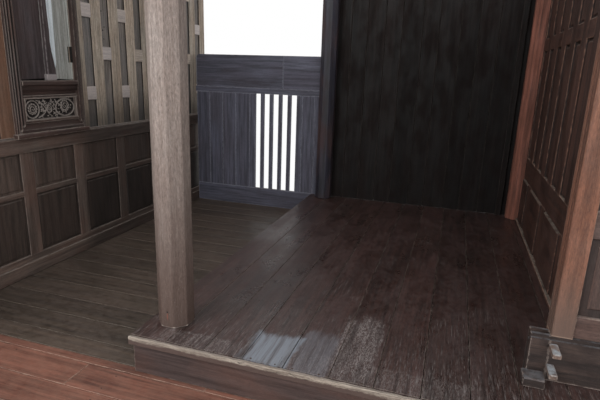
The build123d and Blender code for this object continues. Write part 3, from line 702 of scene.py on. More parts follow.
def treeObject(name, slotName, nodes, boxes, grain, rounds, uneven, steps, seed, wave=0.5, finish=None):
    # One vertex per timber goes through the tree. The grain is the axes (along, out); the rounds are those of
    # the long arrises and of the ends, in metres; the steps are along and across.
    turn = turns[grain]
    spin = Matrix.Rotation(turn[2], 3, "Z") @ Matrix.Rotation(turn[1], 3, "Y") @ Matrix.Rotation(turn[0], 3, "X")
    lows, highs = np.array(boxes).transpose(1, 0, 2) / 1000
    mesh = bpy.data.meshes.new(name + "Places")
    mesh.from_pydata(((lows + highs) / 2 - rowOrigin / 1000).tolist(), [], [])
    fillLayer(mesh, "boardSize", np.abs((highs - lows) @ np.array(spin)))
    fillLayer(mesh, "boardTurn", [turn] * len(boxes))
    fillLayer(mesh, "boardSeed", [nextSeed() for _ in boxes])
    treePiece(name, slotName, nodes, mesh, timberTree,
              {"Edge Round": rounds[0], "End Round": rounds[1], "Unevenness": uneven, "Wave Length": wave,
               "Steps Along": steps[0], "Steps Across": steps[1], "Seed": seed}, finish)


def treePiece(name, slotName, nodes, places, tree, values, finish):
    # Runs the tree on the places and keeps the result as a plain mesh.
    holder = link(bpy.data.objects.new(name + "Places", places))
    modifier = holder.modifiers.new("timbers", "NODES")
    modifier.node_group = tree
    names = {item.name: item.identifier for item in tree.interface.items_tree
             if item.item_type == "SOCKET" and item.in_out == "INPUT"}
    for label, value in {**values, "Material": materials[finish or slotName]}.items():
        modifier[names[label]] = value
    depsgraph = bpy.context.evaluated_depsgraph_get()
    result = bpy.data.meshes.new_from_object(holder.evaluated_get(depsgraph), preserve_all_data_layers=True,
                                             depsgraph=depsgraph)
    result.name = name
    holder.modifiers.clear()
    bpy.data.objects.remove(holder)
    dress(link(bpy.data.objects.new(name, result)), nodes)


def splitBox(low, high, way, places, gap):
    # Cuts a slab's box into timbers between the given places along one axis, with gaps between them.
    k = "xyz".index(way)
    result = []
    for a, b in zip(places[:-1], places[1:]):
        low, high = np.array(low, float), np.array(high, float)
        low[k], high[k] = a + gap / 2, b - gap / 2
        result.append((low, high))
    return result


# Floors

platformPlanks = {
    "seams": (0, 188, 376, 563, 750, 948, 1133, 1317, 1502, 1690, 1880, 2066, 2252, 2341),
    "gap": 1.4, "lift": 0.8, "round": 0.0014, "nosing": 24, "noseRound": 0.001, "uneven": 0.0022,
}
deckPlanks = {
    "firstSeam": 164, "pitch": 172.5, "gap": 3.0, "endGap": 1.2, "joints": (-793, -221, 392, 1010, 1660),
    "frontJoint": -221, "uneven": 0.002, "round": 0.002,
}


def makePlatform(spec):
    low, high = bayBox("platform_deck")
    boxes = splitBox(low, high, "x", spec["seams"], spec["gap"])
    boxes[0][0][0] = low[0]
    boxes[-1][1][0] = high[0]
    lifts = random.Random(5)
    for box in boxes:
        box[0][1] += spec["nosing"]
        box[1][2] -= lifts.uniform(0, spec["lift"])
    nosing = Timbers()
    nosing.board(low, (high[0], low[1] + spec["nosing"] - 0.3, high[2] - 0.2), "x", "z", (1.0, 9.0),
                 step=22, uneven=2.2, wave=90.0)
    nosing.object("dark_platform_planks", name="platformNosing", smooth=40, finish="nosing_timber")
    treeObject("platformPlanks", "dark_platform_planks", ["platform_deck"], boxes, ("y", "z"),
               (spec["round"], spec["noseRound"]), spec["uneven"], (80, 7), 3)


def makeLowerDeck(spec):
    choose = random.Random(12)
    # the side deck takes the darker copy of the planks, which is painted shade
    for node, finish in (("lower_deck_front", None), ("lower_deck_side", "passage_deck_planks")):
        low, high = bayBox(node)
        first = spec["firstSeam"] - spec["pitch"] * math.ceil((spec["firstSeam"] - low[1]) / spec["pitch"])
        seams = [place for place in np.arange(first, high[1] - 40, spec["pitch"]) if place > low[1] + 40]
        boxes = []
        for row in splitBox(low, high, "y", [low[1], *seams, high[1]], spec["gap"]):
            cuts = [low[0], high[0]]
            if not finish:
                middle = (row[0][1] + row[1][1]) / 2
                # the row that starts in front of the step has its joint where the photo shows it
                cuts.insert(1, spec["frontJoint"] if -172 < middle < -31 else choose.choice(spec["joints"]))
            boxes += splitBox(*row, "x", cuts, spec["endGap"])
        treeObject(camel(node), "red_deck_planks", [node], boxes, ("x", "z"), (spec["round"], spec["round"]),
                   spec["uneven"], (48, 6), 8, 0.45, finish)


makePlatform(platformPlanks)
makeLowerDeck(deckPlanks)


# Nail heads and plugged holes: a disc on each vertex of a mesh of places

nailShapes = {
    "platform": {"diameter": 0.009, "rise": 0.0005, "rows": (34, 560, 1180, 1810, 2440, 3060), "margin": 0.24,
                 "slip": 9.0},
    "deck": {"diameter": 0.008, "rise": 0.0005, "columns": (-1240, -640, -40, 560, 1160, 1760, 2270),
             "margin": 0.22, "slip": 7.0},
}


def makeNailTree():
    group, g, given, out = newGroup(
        "nailHeads", "GeometryNodeTree",
        (("Geometry", "g", None), ("Diameter", "f", 0.009), ("Rise", "f", 0.0005), ("Size Spread", "f", 0.2),
         ("Sides", "i", 10), ("Seed", "i", 1), ("Material", "m", None)),
        (("Geometry", "g"),))
    group.is_modifier = True
    radius = g.over(given["Diameter"], 2.0)
    height = g.times(given["Rise"], 2.0)
    disc = g.add("GeometryNodeMeshCone", {"Vertices": given["Sides"], "Radius Top": g.times(radius, 0.8),
                                          "Radius Bottom": radius, "Depth": height})
    sunk = g.add("GeometryNodeTransform", {"Geometry": disc.outputs[0],
                                           "Translation": g.join(0.0, 0.0, g.times(given["Rise"], -1.0))})
    size = g.add("FunctionNodeRandomValue", {"Seed": given["Seed"]}, data_type="FLOAT")
    g.put(size.inputs[2], g.minus(1.0, given["Size Spread"]))
    g.put(size.inputs[3], g.plus(1.0, given["Size Spread"]))
    turn = g.add("FunctionNodeEulerToRotation", {0: g.read("boardTurn")}).outputs[0]
    spread = g.add("GeometryNodeInstanceOnPoints", {"Points": given["Geometry"], "Instance": sunk.outputs[0],
                                                    "Rotation": turn, "Scale": size.outputs[1]})
    solid = g.add("GeometryNodeRealizeInstances", {"Geometry": spread.outputs[0]})
    painted = g.add("GeometryNodeSetMaterial", {"Geometry": solid.outputs[0], "Material": given["Material"]})
    g.put(out["Geometry"], painted.outputs[0])
    return group


nailTree = makeNailTree()


def nailObject(name, slotName, finish, places, out, values):
    # Heads at bay places, facing the axis out.
    turn = {"z": (0, 0, 0), "x": (0, math.pi / 2, 0), "-y": (math.pi / 2, 0, 0)}[out]
    mesh = bpy.data.meshes.new(name + "Places")
    mesh.from_pydata(((np.array(places) - rowOrigin) / 1000).tolist(), [], [])
    fillLayer(mesh, "boardTurn", [turn] * len(places))
    treePiece(name, slotName, [], mesh, nailTree, values, finish)


def dullStainedFinish(name, shade, rust, rough):
    # Dull and stained, for nail heads, for the ends of dark plugs, and for near-black boards that paint shade in the
    # window.
    material, g = freshMaterial(name)
    shader = g.tree.nodes["Principled BSDF"].inputs
    stain = g.remap(g.noise(g.place(), 340.0, 3.0, 0.6), 0.35, 0.65)
    g.put(shader["Base Color"], g.mix(stain, colour(shade), colour(rust)))
    g.put(shader["Roughness"], g.remap(stain, 0.0, 1.0, rough, rough + 0.25))
    return material


materials["nail_iron"] = dullStainedFinish("nailIron", "2a2523", "4a3226", 0.5)
# near-black, for dark plugs and for boards that paint shade in the window
materials["dark_plug"] = dullStainedFinish("darkPlug", "0c0908", "17110f", 0.75)


def makeNails(shapes):
    slips = random.Random(14)

    def slip(spec):
        return slips.uniform(-1, 1) * spec["slip"]

    spec = shapes["platform"]
    top = bayBox("platform_deck")[1][2]
    seams = platformPlanks["seams"]
    places = [(a + (b - a) * side + slip(spec), y + slip(spec), top - 0.6) for a, b in zip(seams[:-1], seams[1:])
              for y in spec["rows"] for side in (spec["margin"], 1 - spec["margin"])]
    nailObject("platformNails", "dark_platform_planks", "nail_iron", places, "z",
               {"Diameter": spec["diameter"], "Rise": spec["rise"]})
    spec = shapes["deck"]
    low, high = bayBox("lower_deck_front")
    pitch = deckPlanks["pitch"]
    places = []
    for row in np.arange(deckPlanks["firstSeam"] - pitch * 5, high[1] - 60, pitch):
        if row > low[1] - 60:
            for x in spec["columns"]:
                for side in (spec["margin"], 1 - spec["margin"]):
                    y = row + pitch * side + slip(spec)
                    if low[1] + 12 < y < high[1] - 12:
                        places.append((x + slip(spec), y, high[2] - 0.5))
    nailObject("deckNails", "red_deck_planks", "nail_iron", places, "z",
               {"Diameter": spec["diameter"], "Rise": spec["rise"], "Seed": 4})


makeNails(nailShapes)
holePlaces = {
    "wall": ((-1300, 1563, 1936), (-1300, 1585, 1824), (-1300, 1575, 1737), (-1300, 1568, 1800)),
    "post": ((130, 130.0, 421),),
}
nailObject("wallHoles", "grey_wall_timber", "dark_plug", holePlaces["wall"], "x", {"Diameter": 0.012, "Rise": 0.0008})
nailObject("postHole", "grey_post_timber", "dark_plug", holePlaces["post"], "-y", {"Diameter": 0.012, "Rise": 0.0006})

plainPieces = (
    # node, slot, grain, face, edge round, unevenness
    ("floor_bearers", "underfloor_timber", "y", "z", 0.004, 0.002),
    ("platform_joists", "underfloor_timber", "x", "z", 0.004, 0.002),
    ("riser_front", "riser_timber", "x", "-y", 0.003, 0.001),
    ("riser_left", "riser_timber", "y", "z", 0.003, 0.001),
    ("left_wall_plate", "beam_timber", "y", "z", 0.005, 0.002),
    ("back_beam", "beam_timber", "x", "-y", 0.005, 0.002),
    ("side_beam", "beam_timber", "y", "z", 0.005, 0.002),
    ("front_beam", "beam_timber", "x", "-y", 0.005, 0.002),
    ("front_wall_plate", "beam_timber", "x", "-y", 0.005, 0.002),
    ("right_wall_plate", "beam_timber", "y", "z", 0.005, 0.002),
    ("parapet_sole", "parapet_timber", "x", "-y", 0.003, 0.001),
    ("parapet_slats", "parapet_timber", "z", "-y", 0.003, 0.001),
    ("parapet_jamb", "parapet_timber", "z", "-y", 0.003, 0.001),
    ("parapet_rail", "parapet_timber", "x", "-y", 0.004, 0.001),
    ("opening_head", "parapet_timber", "x", "-y", 0.003, 0.001),
    ("back_wall_rails", "back_wall_timber", "x", "-y", 0.003, 0.001),
    ("back_wall_batten", "back_wall_timber", "z", "-y", 0.003, 0.001),
)
for node, slotName, along, out, arris, uneven in plainPieces:
    treeObject(camel(node), slotName, [node], solidBoxes(node), (along, out), (arris, arris), uneven, (24, 5), 5)

boardRows = {
    "backWall": {"node": "back_wall_boards", "slot": "back_wall_timber", "uneven": 0.002,
                 "seams": ((148, 330, 478, 640, 790, 968, 1110, 1290, 1437, 1600, 1780, 1985),)},
    "parapet": {"node": "parapet_boards", "slot": "parapet_timber", "uneven": 0.0015,
                "seams": ((-1286, -1140, -990, -840, -685), (-121, 10, 148))},
    "gap": 2.5, "lath": (18, 4.5),  # half width and thickness of the strip behind each seam
}


def makeBoardRows(spec):
    reach, thickness = spec["lath"]
    for label in ("backWall", "parapet"):
        row = spec[label]
        boxes, laths = [], []
        for (low, high), seams in zip(solidBoxes(row["node"]), row["seams"]):
            front = high[1] - thickness
            boards = splitBox(low, (high[0], front, high[2]), "x", seams, spec["gap"])
            boards[0][0][0], boards[-1][1][0] = low[0], high[0]
            boxes += boards
            laths += [((x - reach, front - 0.3, low[2]), (x + reach, high[1], high[2])) for x in seams[1:-1]]
        for name, nodes, group, edgeRound in (("Boards", [row["node"]], boxes, 0.003), ("Laths", [], laths, 0.0015)):
            treeObject(label + name, row["slot"], nodes, group, ("z", "-y"), (edgeRound, 0.001), row["uneven"],
                       (30, 5), 2)


makeBoardRows(boardRows)
print("floors and plain timbers ready")


# Octagonal posts

postShapes = {  # the arris, unevenness and step up the post are in millimetres; lanes are the points across a flat
    "post_front_left": {"slot": "grey_post_timber", "arris": 4.0, "uneven": 0.8, "lanes": 7, "step": 14.0},
    "post_back_left": {"slot": "dark_post_timber", "finish": "shaded_post_timber", "arris": 4.0, "uneven": 1.2,
                       "lanes": 4, "step": 40.0},
    "post_back_right": {"slot": "dark_post_timber", "arris": 4.0, "uneven": 1.2, "lanes": 4, "step": 40.0},
}


def makePost(node, name, spec):
    low, high = bayBox(node)
    centre = (low + high) / 2
    radius = (high[0] - low[0]) / 2  # across flats
    side = 2 * radius * math.tan(math.pi / 8)
    seed = nextSeed()
    arris = spec["arris"]
    ring = []
    for k in range(8):
        angle = math.radians(45 * k)
        normal, tangent = np.array([[math.cos(angle), math.sin(angle)], [-math.sin(angle), math.cos(angle)]])
        for t in np.linspace(arris - side / 2, side / 2 - arris, spec["lanes"]):
            ring.append((normal, normal * radius + tangent * t, k, t))
        corner = np.array([math.cos(angle + math.pi / 8), math.sin(angle + math.pi / 8)])
        ring.append((corner, corner * (radius / math.cos(math.pi / 8) - arris * 0.28), k + 0.5, 0.0))
    rows = [low[2], low[2] + 4, *np.arange(low[2] + 4 + spec["step"], high[2] - 4, spec["step"]), high[2]]
    points = []
    for z in rows:
        for normal, flat, face, t in ring:
            dip = spec["uneven"] * (0.5 + 0.5 * ripple(seed + face * 0.7, z, 9 * t, 420.0))
            dip += 0.35 * spec["uneven"] * (0.5 + 0.5 * ripple(seed + face, z, 30 * t, 70.0))
            if z == low[2]:
                dip += 4
            points.append((*(centre[:2] + flat - normal * dip), z))
    post = Timbers()
    post.add(points, loftFaces(len(ring), len(rows)), "z", "-y", None, ((high[2] - low[2]) / 2, side / 2, radius * 3),
             seed)
    post.object(spec["slot"], node, name=name, smooth=12, finish=spec.get("finish"))


for (node, spec), name in zip(postShapes.items(), ("postFront", "postBackLeft", "postBackRight")):
    makePost(node, name, spec)


# Panelled walls

leftFace, frontFace = -1300.0, 345.0
wallFaces = {  # the axis out of a wall, the place of its face on that axis, and the grain of a level timber
    "left": ("x", leftFace, "y"), "right": ("-x", 1940.0, "y"), "front": ("-y", frontFace, "x"),
}
panelDepths = (27.0, 15.0)  # how far a panel's back and margin lie behind the wall's face
railTones = random.Random(9)  # draws the tones of the cross rails


def wallBox(wall, u0, u1, v0, v1, w0, w1):
    # Opposite corners in bay millimetres of a box given along, up and out of a wall's face.
    out, face, level = wallFaces[wall]
    return [face * abs(axis(out)) + w * axis(out) + u * axis(level) + v * axis("z")
            for u, v, w in ((u0, v0, w0), (u1, v1, w1))]


def fieldedPanel(timbers, low, high, out, inset=13.0, slope=6.0):
    # A board let into its frame: a flat margin, a bevelled slope and a raised field.
    rise = 6.0
    g, o = axis("z"), axis(out)
    a = np.cross(o, g)
    centre = (low + high) / 2
    length, width, depth = (abs((high - low) @ v) / 2 for v in (g, a, o))
    points = [centre + along * (length - margin) * g + across * (width - margin) * a + level * o
              for margin, level in ((0, -depth), (0, depth), (inset, depth), (inset + slope, depth + rise))
              for along, across in ((-1, -1), (-1, 1), (1, 1), (1, -1))]
    timbers.add(points, loftFaces(4, 4), "z", out, centre, (length, width, depth + rise))


def solidRuns(start, holes, end):
    # The stretches that holes leave between two ends.
    edges = [start, *(place for hole in holes for place in hole), end]
    return list(zip(edges[::2], edges[1::2]))


class Wall:
    # Stiles and rails that lap over each other's chamfers, so that the corners look mitred.
    def __init__(self, wall, spec):
        self.wall, self.thickness, self.bevel = wall, spec["thickness"], spec["bevel"]
        self.frame, self.panels = Timbers(), Timbers()
        self.out, self.level = wallFaces[wall][::2]

    def stile(self, u0, u1, v0, v1, chamfer=None, **more):
        box = wallBox(self.wall, u0, u1, v0, v1, -self.thickness, 0)
        self.frame.board(*box, "z", self.out, self.bevel if chamfer is None else chamfer, **more)

    def rail(self, u0, u1, v0, v1, chamfer=None, **more):
        # A rail is a hair thinner than the stiles that it laps.
        box = wallBox(self.wall, u0, u1, v0, v1, -self.thickness + 0.4, -0.3)
        self.frame.board(*box, self.level, self.out, self.bevel if chamfer is None else chamfer, **more)

    def panel(self, u0, u1, v0, v1, **more):
        back, margin = panelDepths
        fieldedPanel(self.panels, *wallBox(self.wall, u0, u1, v0, v1, -back, -margin), self.out, **more)

    def flat(self, u0, u1, v0, v1):
        # A plain board whose edges run on into the frame.
        lap = 4.0
        back, margin = panelDepths
        box = wallBox(self.wall, u0 - lap, u1 + lap, v0 - lap, v1 + lap, -back, -margin)
        self.panels.board(*box, "z", self.out, 0.5, back=0.5, endRound=0.5, step=90, uneven=0.7)

    def column(self, u0, u1, crossings, railHeight, base, top, fill):
        level = base
        for crossing in crossings:
            fill(u0, u1, level, crossing)
            self.rail(u0 - self.bevel, u1 + self.bevel, crossing, crossing + railHeight,
                      seed=nextSeed(railTones.choice((0.91, 0.94, 0.98))))
            level = crossing + railHeight
        fill(u0, u1, level, top)


leftWall = {
    "front": -700, "back": 3148, "base": 240, "bevel": 5, "thickness": 45,
    "lowerStile": 104, "lowerPanel": 364, "rows": ((285, 690), (728, 978)), "waistTop": 1072,
    "tallBase": 1084, "tallTop": 2466, "top": 2600, "panelWidth": 87, "crossRail": 99, "tallPanel": 491,
    "footPanels": (203, 497), "before": (-596, 587, 7), "after": (1359, 3044, 9), "opening": (752, 1228),
}


def crossingsAbove(spec, foot):
    levels, level = [], spec["tallBase"] + foot
    while level + spec["crossRail"] + spec["panelWidth"] < spec["tallTop"]:
        levels.append(level)
        level += spec["tallPanel"] + spec["crossRail"]
    return levels


def makeLeftWall(spec):
    bevel, width = spec["bevel"], spec["panelWidth"]
    front, back = spec["front"], spec["back"]
    lower = Wall("left", spec)
    pitch = spec["lowerStile"] + spec["lowerPanel"]
    (low0, low1), (high0, high1) = spec["rows"]
    lower.rail(front, back, spec["base"], low0, (1.0, bevel), step=120, uneven=0.6)
    for k in range(9):
        u = front + k * pitch
        lower.stile(u, u + spec["lowerStile"], low0 - bevel, high1, step=80, uneven=0.6)
    for k in range(8):
        u = front + spec["lowerStile"] + k * pitch
        lower.rail(u - bevel, u + spec["lowerPanel"] + bevel, low1, high0)
        for v0, v1 in spec["rows"]:
            lower.panel(u, u + spec["lowerPanel"], v0, v1)
    lower.frame.object("grey_wall_timber", "left_wall_lower_frame")
    lower.panels.object("grey_wall_panels", "left_wall_lower_panels")
    nodeBoard("left_wall_sole", "grey_wall_timber", "y", "x", (bevel, 2.0), step=90, uneven=1.0)
    nodeBoard("left_wall_waist_rail", "grey_wall_timber", "y", "x", (2.0, bevel), step=90, uneven=1.0)

    upperPanels = Timbers()
    stileReach = (spec["tallBase"] - 1, spec["tallTop"] + bevel)
    for node, ends, (first, last, count) in (
            ("left_wall_front_frame", (front, spec["opening"][0]), spec["before"]),
            ("left_wall_back_frame", (spec["opening"][1], back), spec["after"])):
        wall = Wall("left", spec)
        wall.panels = upperPanels
        step = (last - first - width) / (count - 1)
        holes = [(first + k * step, first + k * step + width) for k in range(count)]
        wall.rail(*ends, spec["tallTop"], spec["top"], (bevel, 1.0), step=120, uneven=0.6)
        wall.rail(*ends, spec["waistTop"], spec["tallBase"], (0.5, 0.5))
        for u0, u1 in solidRuns(ends[0], holes, ends[1]):
            if u1 != spec["opening"][0]:
                wall.stile(u0, u1, *stileReach, step=80, uneven=0.7)
        for k, hole in enumerate(holes):
            wall.column(*hole, crossingsAbove(spec, spec["footPanels"][k % 2]), spec["crossRail"], spec["tallBase"],
                        spec["tallTop"], wall.flat)
        # the upper frames take the paler copy of the wall timber, which is painted light
        wall.frame.object("grey_wall_timber", node, finish="bright_wall_timber")
    worn = Wall("left", spec)
    worn.stile(spec["before"][1], spec["opening"][0], *stileReach, step=80, uneven=0.7)
    worn.frame.object("grey_wall_timber", name="windowStile", finish="front_strip_timber")
    # the upper panels take the paler boards, which are painted light
    upperPanels.object("grey_wall_panels", "left_wall_upper_panels", finish="sunk_board_timber")
    boards = Timbers()
    boardNodes = ("window_apron_board", "window_header_board")
    for node in boardNodes:
        boards.board(*bayBox(node), "y", "x")
    boards.object("grey_wall_timber", *boardNodes, name="windowBoards")


makeLeftWall(leftWall)
print("left wall ready")

windowShape = {
    "opening": (752, 1228, 1432, 2370), "base": 1163, "baseDepth": 91, "rim": 64,
    "beads": ((0, 15, 34), (20, 14, 30), (39, 12, 25), (52, 12, 20)),  # start, width and how far it stands out
    "groove": 13, "rimOut": 14,
    "recess": 12, "thickness": 24, "leafLift": (13, 4), "jointY": 990,
    "notch": (24, 1553, 1660, 17),  # width, its height range, and how far a near-black plate that paints shade reaches into the surround's side
    "strip": {"left": 990, "right": 1060, "out": 22,  # the edge swings in towards the top
              "edge": ((1060, 1500), (1052, 1553), (1039, 1617), (1033, 1680), (1029, 1755), (1025, 1854),
                       (1024, 1939))},
    # the wedge's near-white colour is painted light on the edge beside the astragal
    "wedge": {"out": 19, "edge": ((1070, 1546), (1073, 1640), (1075, 1772), (1079, 1947))},
    "foot": (974, 1060, 40, 28),
}


def sweepMember(timbers, profile, stations, grain):
    # One side of a mitred frame: each station is its place along and up, and how far these move per
    # millimetre of the profile's reach.
    points = [(leftFace + w, u + su * reach, v + sv * reach) for u, v, su, sv in stations for reach, w in profile]
    timbers.add(points, loftFaces(len(profile), 2), grain, "x")


def prism(timbers, outline, w0, w1, bevel=1.5, seed=None):
    # A board of any outline on the left wall, with its front arris eased. The outline runs anticlockwise
    # as (along, up) places seen from the room's side.
    outline = np.asarray(outline, float)
    inner = outline - np.sign(outline - outline.mean(0)) * bevel
    points = [(leftFace + w, u, v) for w, ring in ((w0, outline), (w1 - bevel, outline), (w1, inner)) for u, v in ring]
    timbers.add(points, loftFaces(len(outline), 3), "z", "x", seed=seed)


def makeWindow(spec):
    front, back, low, high = spec["opening"]
    rim, base = spec["rim"], spec["base"]
    slope = spec["baseDepth"] / rim
    surround = Timbers()
    profile = [(0, 0)]
    for start, width, out in spec["beads"]:
        profile.append((start, out - spec["groove"] if start else out - 5))
        for k in range(8):
            t = k / 7
            profile.append((start + 1 + (width - 2) * t, out - 4.5 + 4.5 * math.sin(math.pi * t)))
        profile.append((start + width, out - spec["groove"]))
    profile = [b for b in profile if b[0] < rim - 1] + [(rim - 1, spec["rimOut"] + 2), (rim, spec["rimOut"]), (rim, 0)]
    for grain, stations in (("z", ((front, base, -1, -slope), (front, high, -1, 1))),
                            ("y", ((front, high, -1, 1), (back, high, 1, 1))),
                            ("z", ((back, high, 1, 1), (back, base, 1, -slope)))):
        sweepMember(surround, profile, stations, grain)
    surround.object("window_timber", "window_surround", smooth=35)

    face = -spec["recess"]
    rear = face - spec["thickness"]
    joint, top = spec["jointY"], high - 2
    frontLift, backLift = spec["leafLift"]
    leaf = Timbers()
    prism(leaf, ((front + 1, low + backLift), (joint - 1, low + frontLift), (joint - 1, top), (front + 1, top)),
          rear, face)
    leaf.object("dark_leaf_timber", "window_leaf_front")
    leaf = Timbers()
    width, notchLow, notchHigh, sidePlateReach = spec["notch"]
    seed = nextSeed(0.5)
    prism(leaf, ((joint + 1, low + frontLift), (back - width, low + backLift), (back - width, top), (joint + 1, top)),
          rear, face, 0.6, seed)
    for v0, v1 in ((low + backLift, notchLow), (notchHigh, top)):
        prism(leaf, ((back - width, v0), (back - 1, v0), (back - 1, v1), (back - width, v1)), rear, face, 0.6, seed)
        leaf.board(*wallBox("left", back - 8, back - 0.5, v0, v1, face, face + 9), "z", "x", 3, seed=nextSeed(0.75))
    leaf.object("pale_leaf_timber", "window_leaf_back")
    # near-black pieces paint shade: in the notch, on the surround's side beside it, and behind the leaves where the
    # gap under them shows
    dark = Timbers()
    prism(dark, ((back - width, notchLow), (back - 1, notchLow), (back - 1, notchHigh), (back - width, notchHigh)),
          rear, face - 13)
    dark.board(*wallBox("left", back - 1.5, back + 0.5, notchLow, notchHigh, face, face + sidePlateReach), "z", "x", 0.3)
    dark.board(*wallBox("left", front - 6, back + 6, low - 8, high + 6, -44.5, rear - 0.5), "z", "x")
    dark.object("dark_leaf_timber", name="windowStop", finish="dark_plug")

    strip = spec["strip"]
    left, right, out = strip["left"], strip["right"], strip["out"]
    foot0, foot1, footHeight, footOut = spec["foot"]
    edge = [*strip["edge"], (strip["edge"][-1][0], top)]
    bar = Timbers()
    heel = low + footHeight
    prism(bar, ((left, heel), (right, heel), *edge, (left, top)), face, face + out, 3.0, nextSeed(0.6))
    bar.board(*wallBox("left", foot0, foot1, low, heel, face, face + footOut), "y", "x", 4, endRound=4,
              seed=nextSeed(0.98))
    bar.object("dark_leaf_timber", "window_astragal")
    # a near-white wedge beside the astragal paints the light on the edge of the leaf
    wedge = Timbers()
    outer = [*spec["wedge"]["edge"], (spec["wedge"]["edge"][-1][0], top)]
    prism(wedge, ((edge[0][0] + 2, edge[0][1] + 15), *outer, *[(u - 1, v) for u, v in edge[:0:-1]]), face,
          face + spec["wedge"]["out"], 0.8)
    wedge.object("pale_leaf_timber", name="coverWedge", finish="bare_strip_timber")

    mouldings = {
        "upper": ((30.4, 0), (30.4, 26.5), (34, 27), (46, 26), (50, 23), (51, 18), (54, 15.5), (62, 13), (72, 12.5),
                  (84, 13), (88, 10), (91, 8), (91, 0)),
        "lowest": ((0, 0), (0, 38), (3, 40), (22, 40), (27, 38), (30.3, 33), (30.3, 0)),
        "ledge": ((0, 0), (0, 8), (4, 10), (18, 11), (24, 14), (27, 19), (33, 24), (46, 26), (58, 27), (62, 30),
                  (64, 35), (68, 38), (86, 38), (90, 36.5), (94, 32), (94, 0)),
    }

    def moulding(piece, key, base, u0, u1):
        piece.bar([(v + base, w) for v, w in mouldings[key]][::-1], "y", "x", (leftFace, u0, 0), u1 - u0, endRound=1.0,
                  step=50, uneven=0.5)

    piece = Timbers()
    (x0, y0, z0), (x1, y1, z1) = bayBox("window_base")
    moulding(piece, "lowest", z0, y0, y1)
    upper = [((base - z0 - v) / slope, w) for v, w in mouldings["upper"]]
    sweepMember(piece, upper, ((front, base, -1, -slope), (back, base, 1, -slope)), "y")
    piece.object("window_timber", "window_base", smooth=35)
    piece = Timbers()
    (x0, y0, z0), (x1, y1, z1) = bayBox("window_ledge")
    moulding(piece, "ledge", z0, y0, y1)
    piece.object("window_timber", "window_ledge", smooth=35)

    (x0, y0, z0), (x1, y1, z1) = bayBox("carving_frame")
    edge, out, bead = 22, x1 - leftFace, 7
    for inset, width, stand, chamfer in ((0, edge - bead, out - 4, 1.5), (edge - bead, bead, out, 2.4)):
        frameWork = Timbers()
        a0, a1, b0, b1 = y0 + inset, y1 - inset, z0 + inset, z1 - inset
        for v in (b0, b1 - width):
            frameWork.board(*wallBox("left", a0, a1, v, v + width, 0, stand), "y", "x", chamfer)
        for u in (a0, a1 - width):
            frameWork.board(*wallBox("left", u, u + width, b0 + width - chamfer, b1 - width + chamfer, 0, stand - 0.2),
                            "z", "x", chamfer)
        if inset:
            frameWork.object("window_timber", name="carvingBead", finish="bead_timber")
        else:
            frameWork.object("window_timber", "carving_frame")


makeWindow(windowShape)

carvingShape = {
    "cell": 1.35, "ground": 2.0, "top": 13.6,  # the grid's cell, and how far the ground and the crests stand out
    # rings: middle, half sizes and stem width; places are millimetres from the panel's lower front corner
    "rings": (((58, 64), (53, 56), 5.4), ((336, 64), (84, 57), 5.6), ((198, 60), (19, 22), 5.0),
              ((198, 60), (7, 9), 3.2)),
    "whorls": (((60, 66), 25, 1.6, 0.4, -1, 4.4), ((334, 74), 29, 1.8, 2.6, 1, 4.8)),  # middle, radius, turns, start
    "stems": (
        (((92, 122), (128, 106), (158, 78), (176, 50), (196, 26), (224, 10)), 4.8),
        (((104, 10), (136, 20), (160, 42), (176, 72), (196, 92), (222, 84), (246, 56), (276, 30), (322, 12)), 4.8),
        (((150, 124), (160, 104), (176, 88)), 4.2),
        (((216, 126), (226, 104), (246, 86), (262, 60)), 4.2),
        (((250, 120), (270, 100), (292, 84), (312, 76)), 5.0),
        (((128, 62), (146, 54), (160, 38)), 3.8),
        (((300, 122), (352, 126), (400, 112)), 3.8),
        (((118, 118), (132, 96), (136, 72), (124, 46)), 3.8),
        (((232, 40), (250, 24), (262, 8)), 3.8),
    ),
    "leaves": ((11, 0.85), (13, 0.85)),  # how many lie round each whorl
    "fill": 70,
}


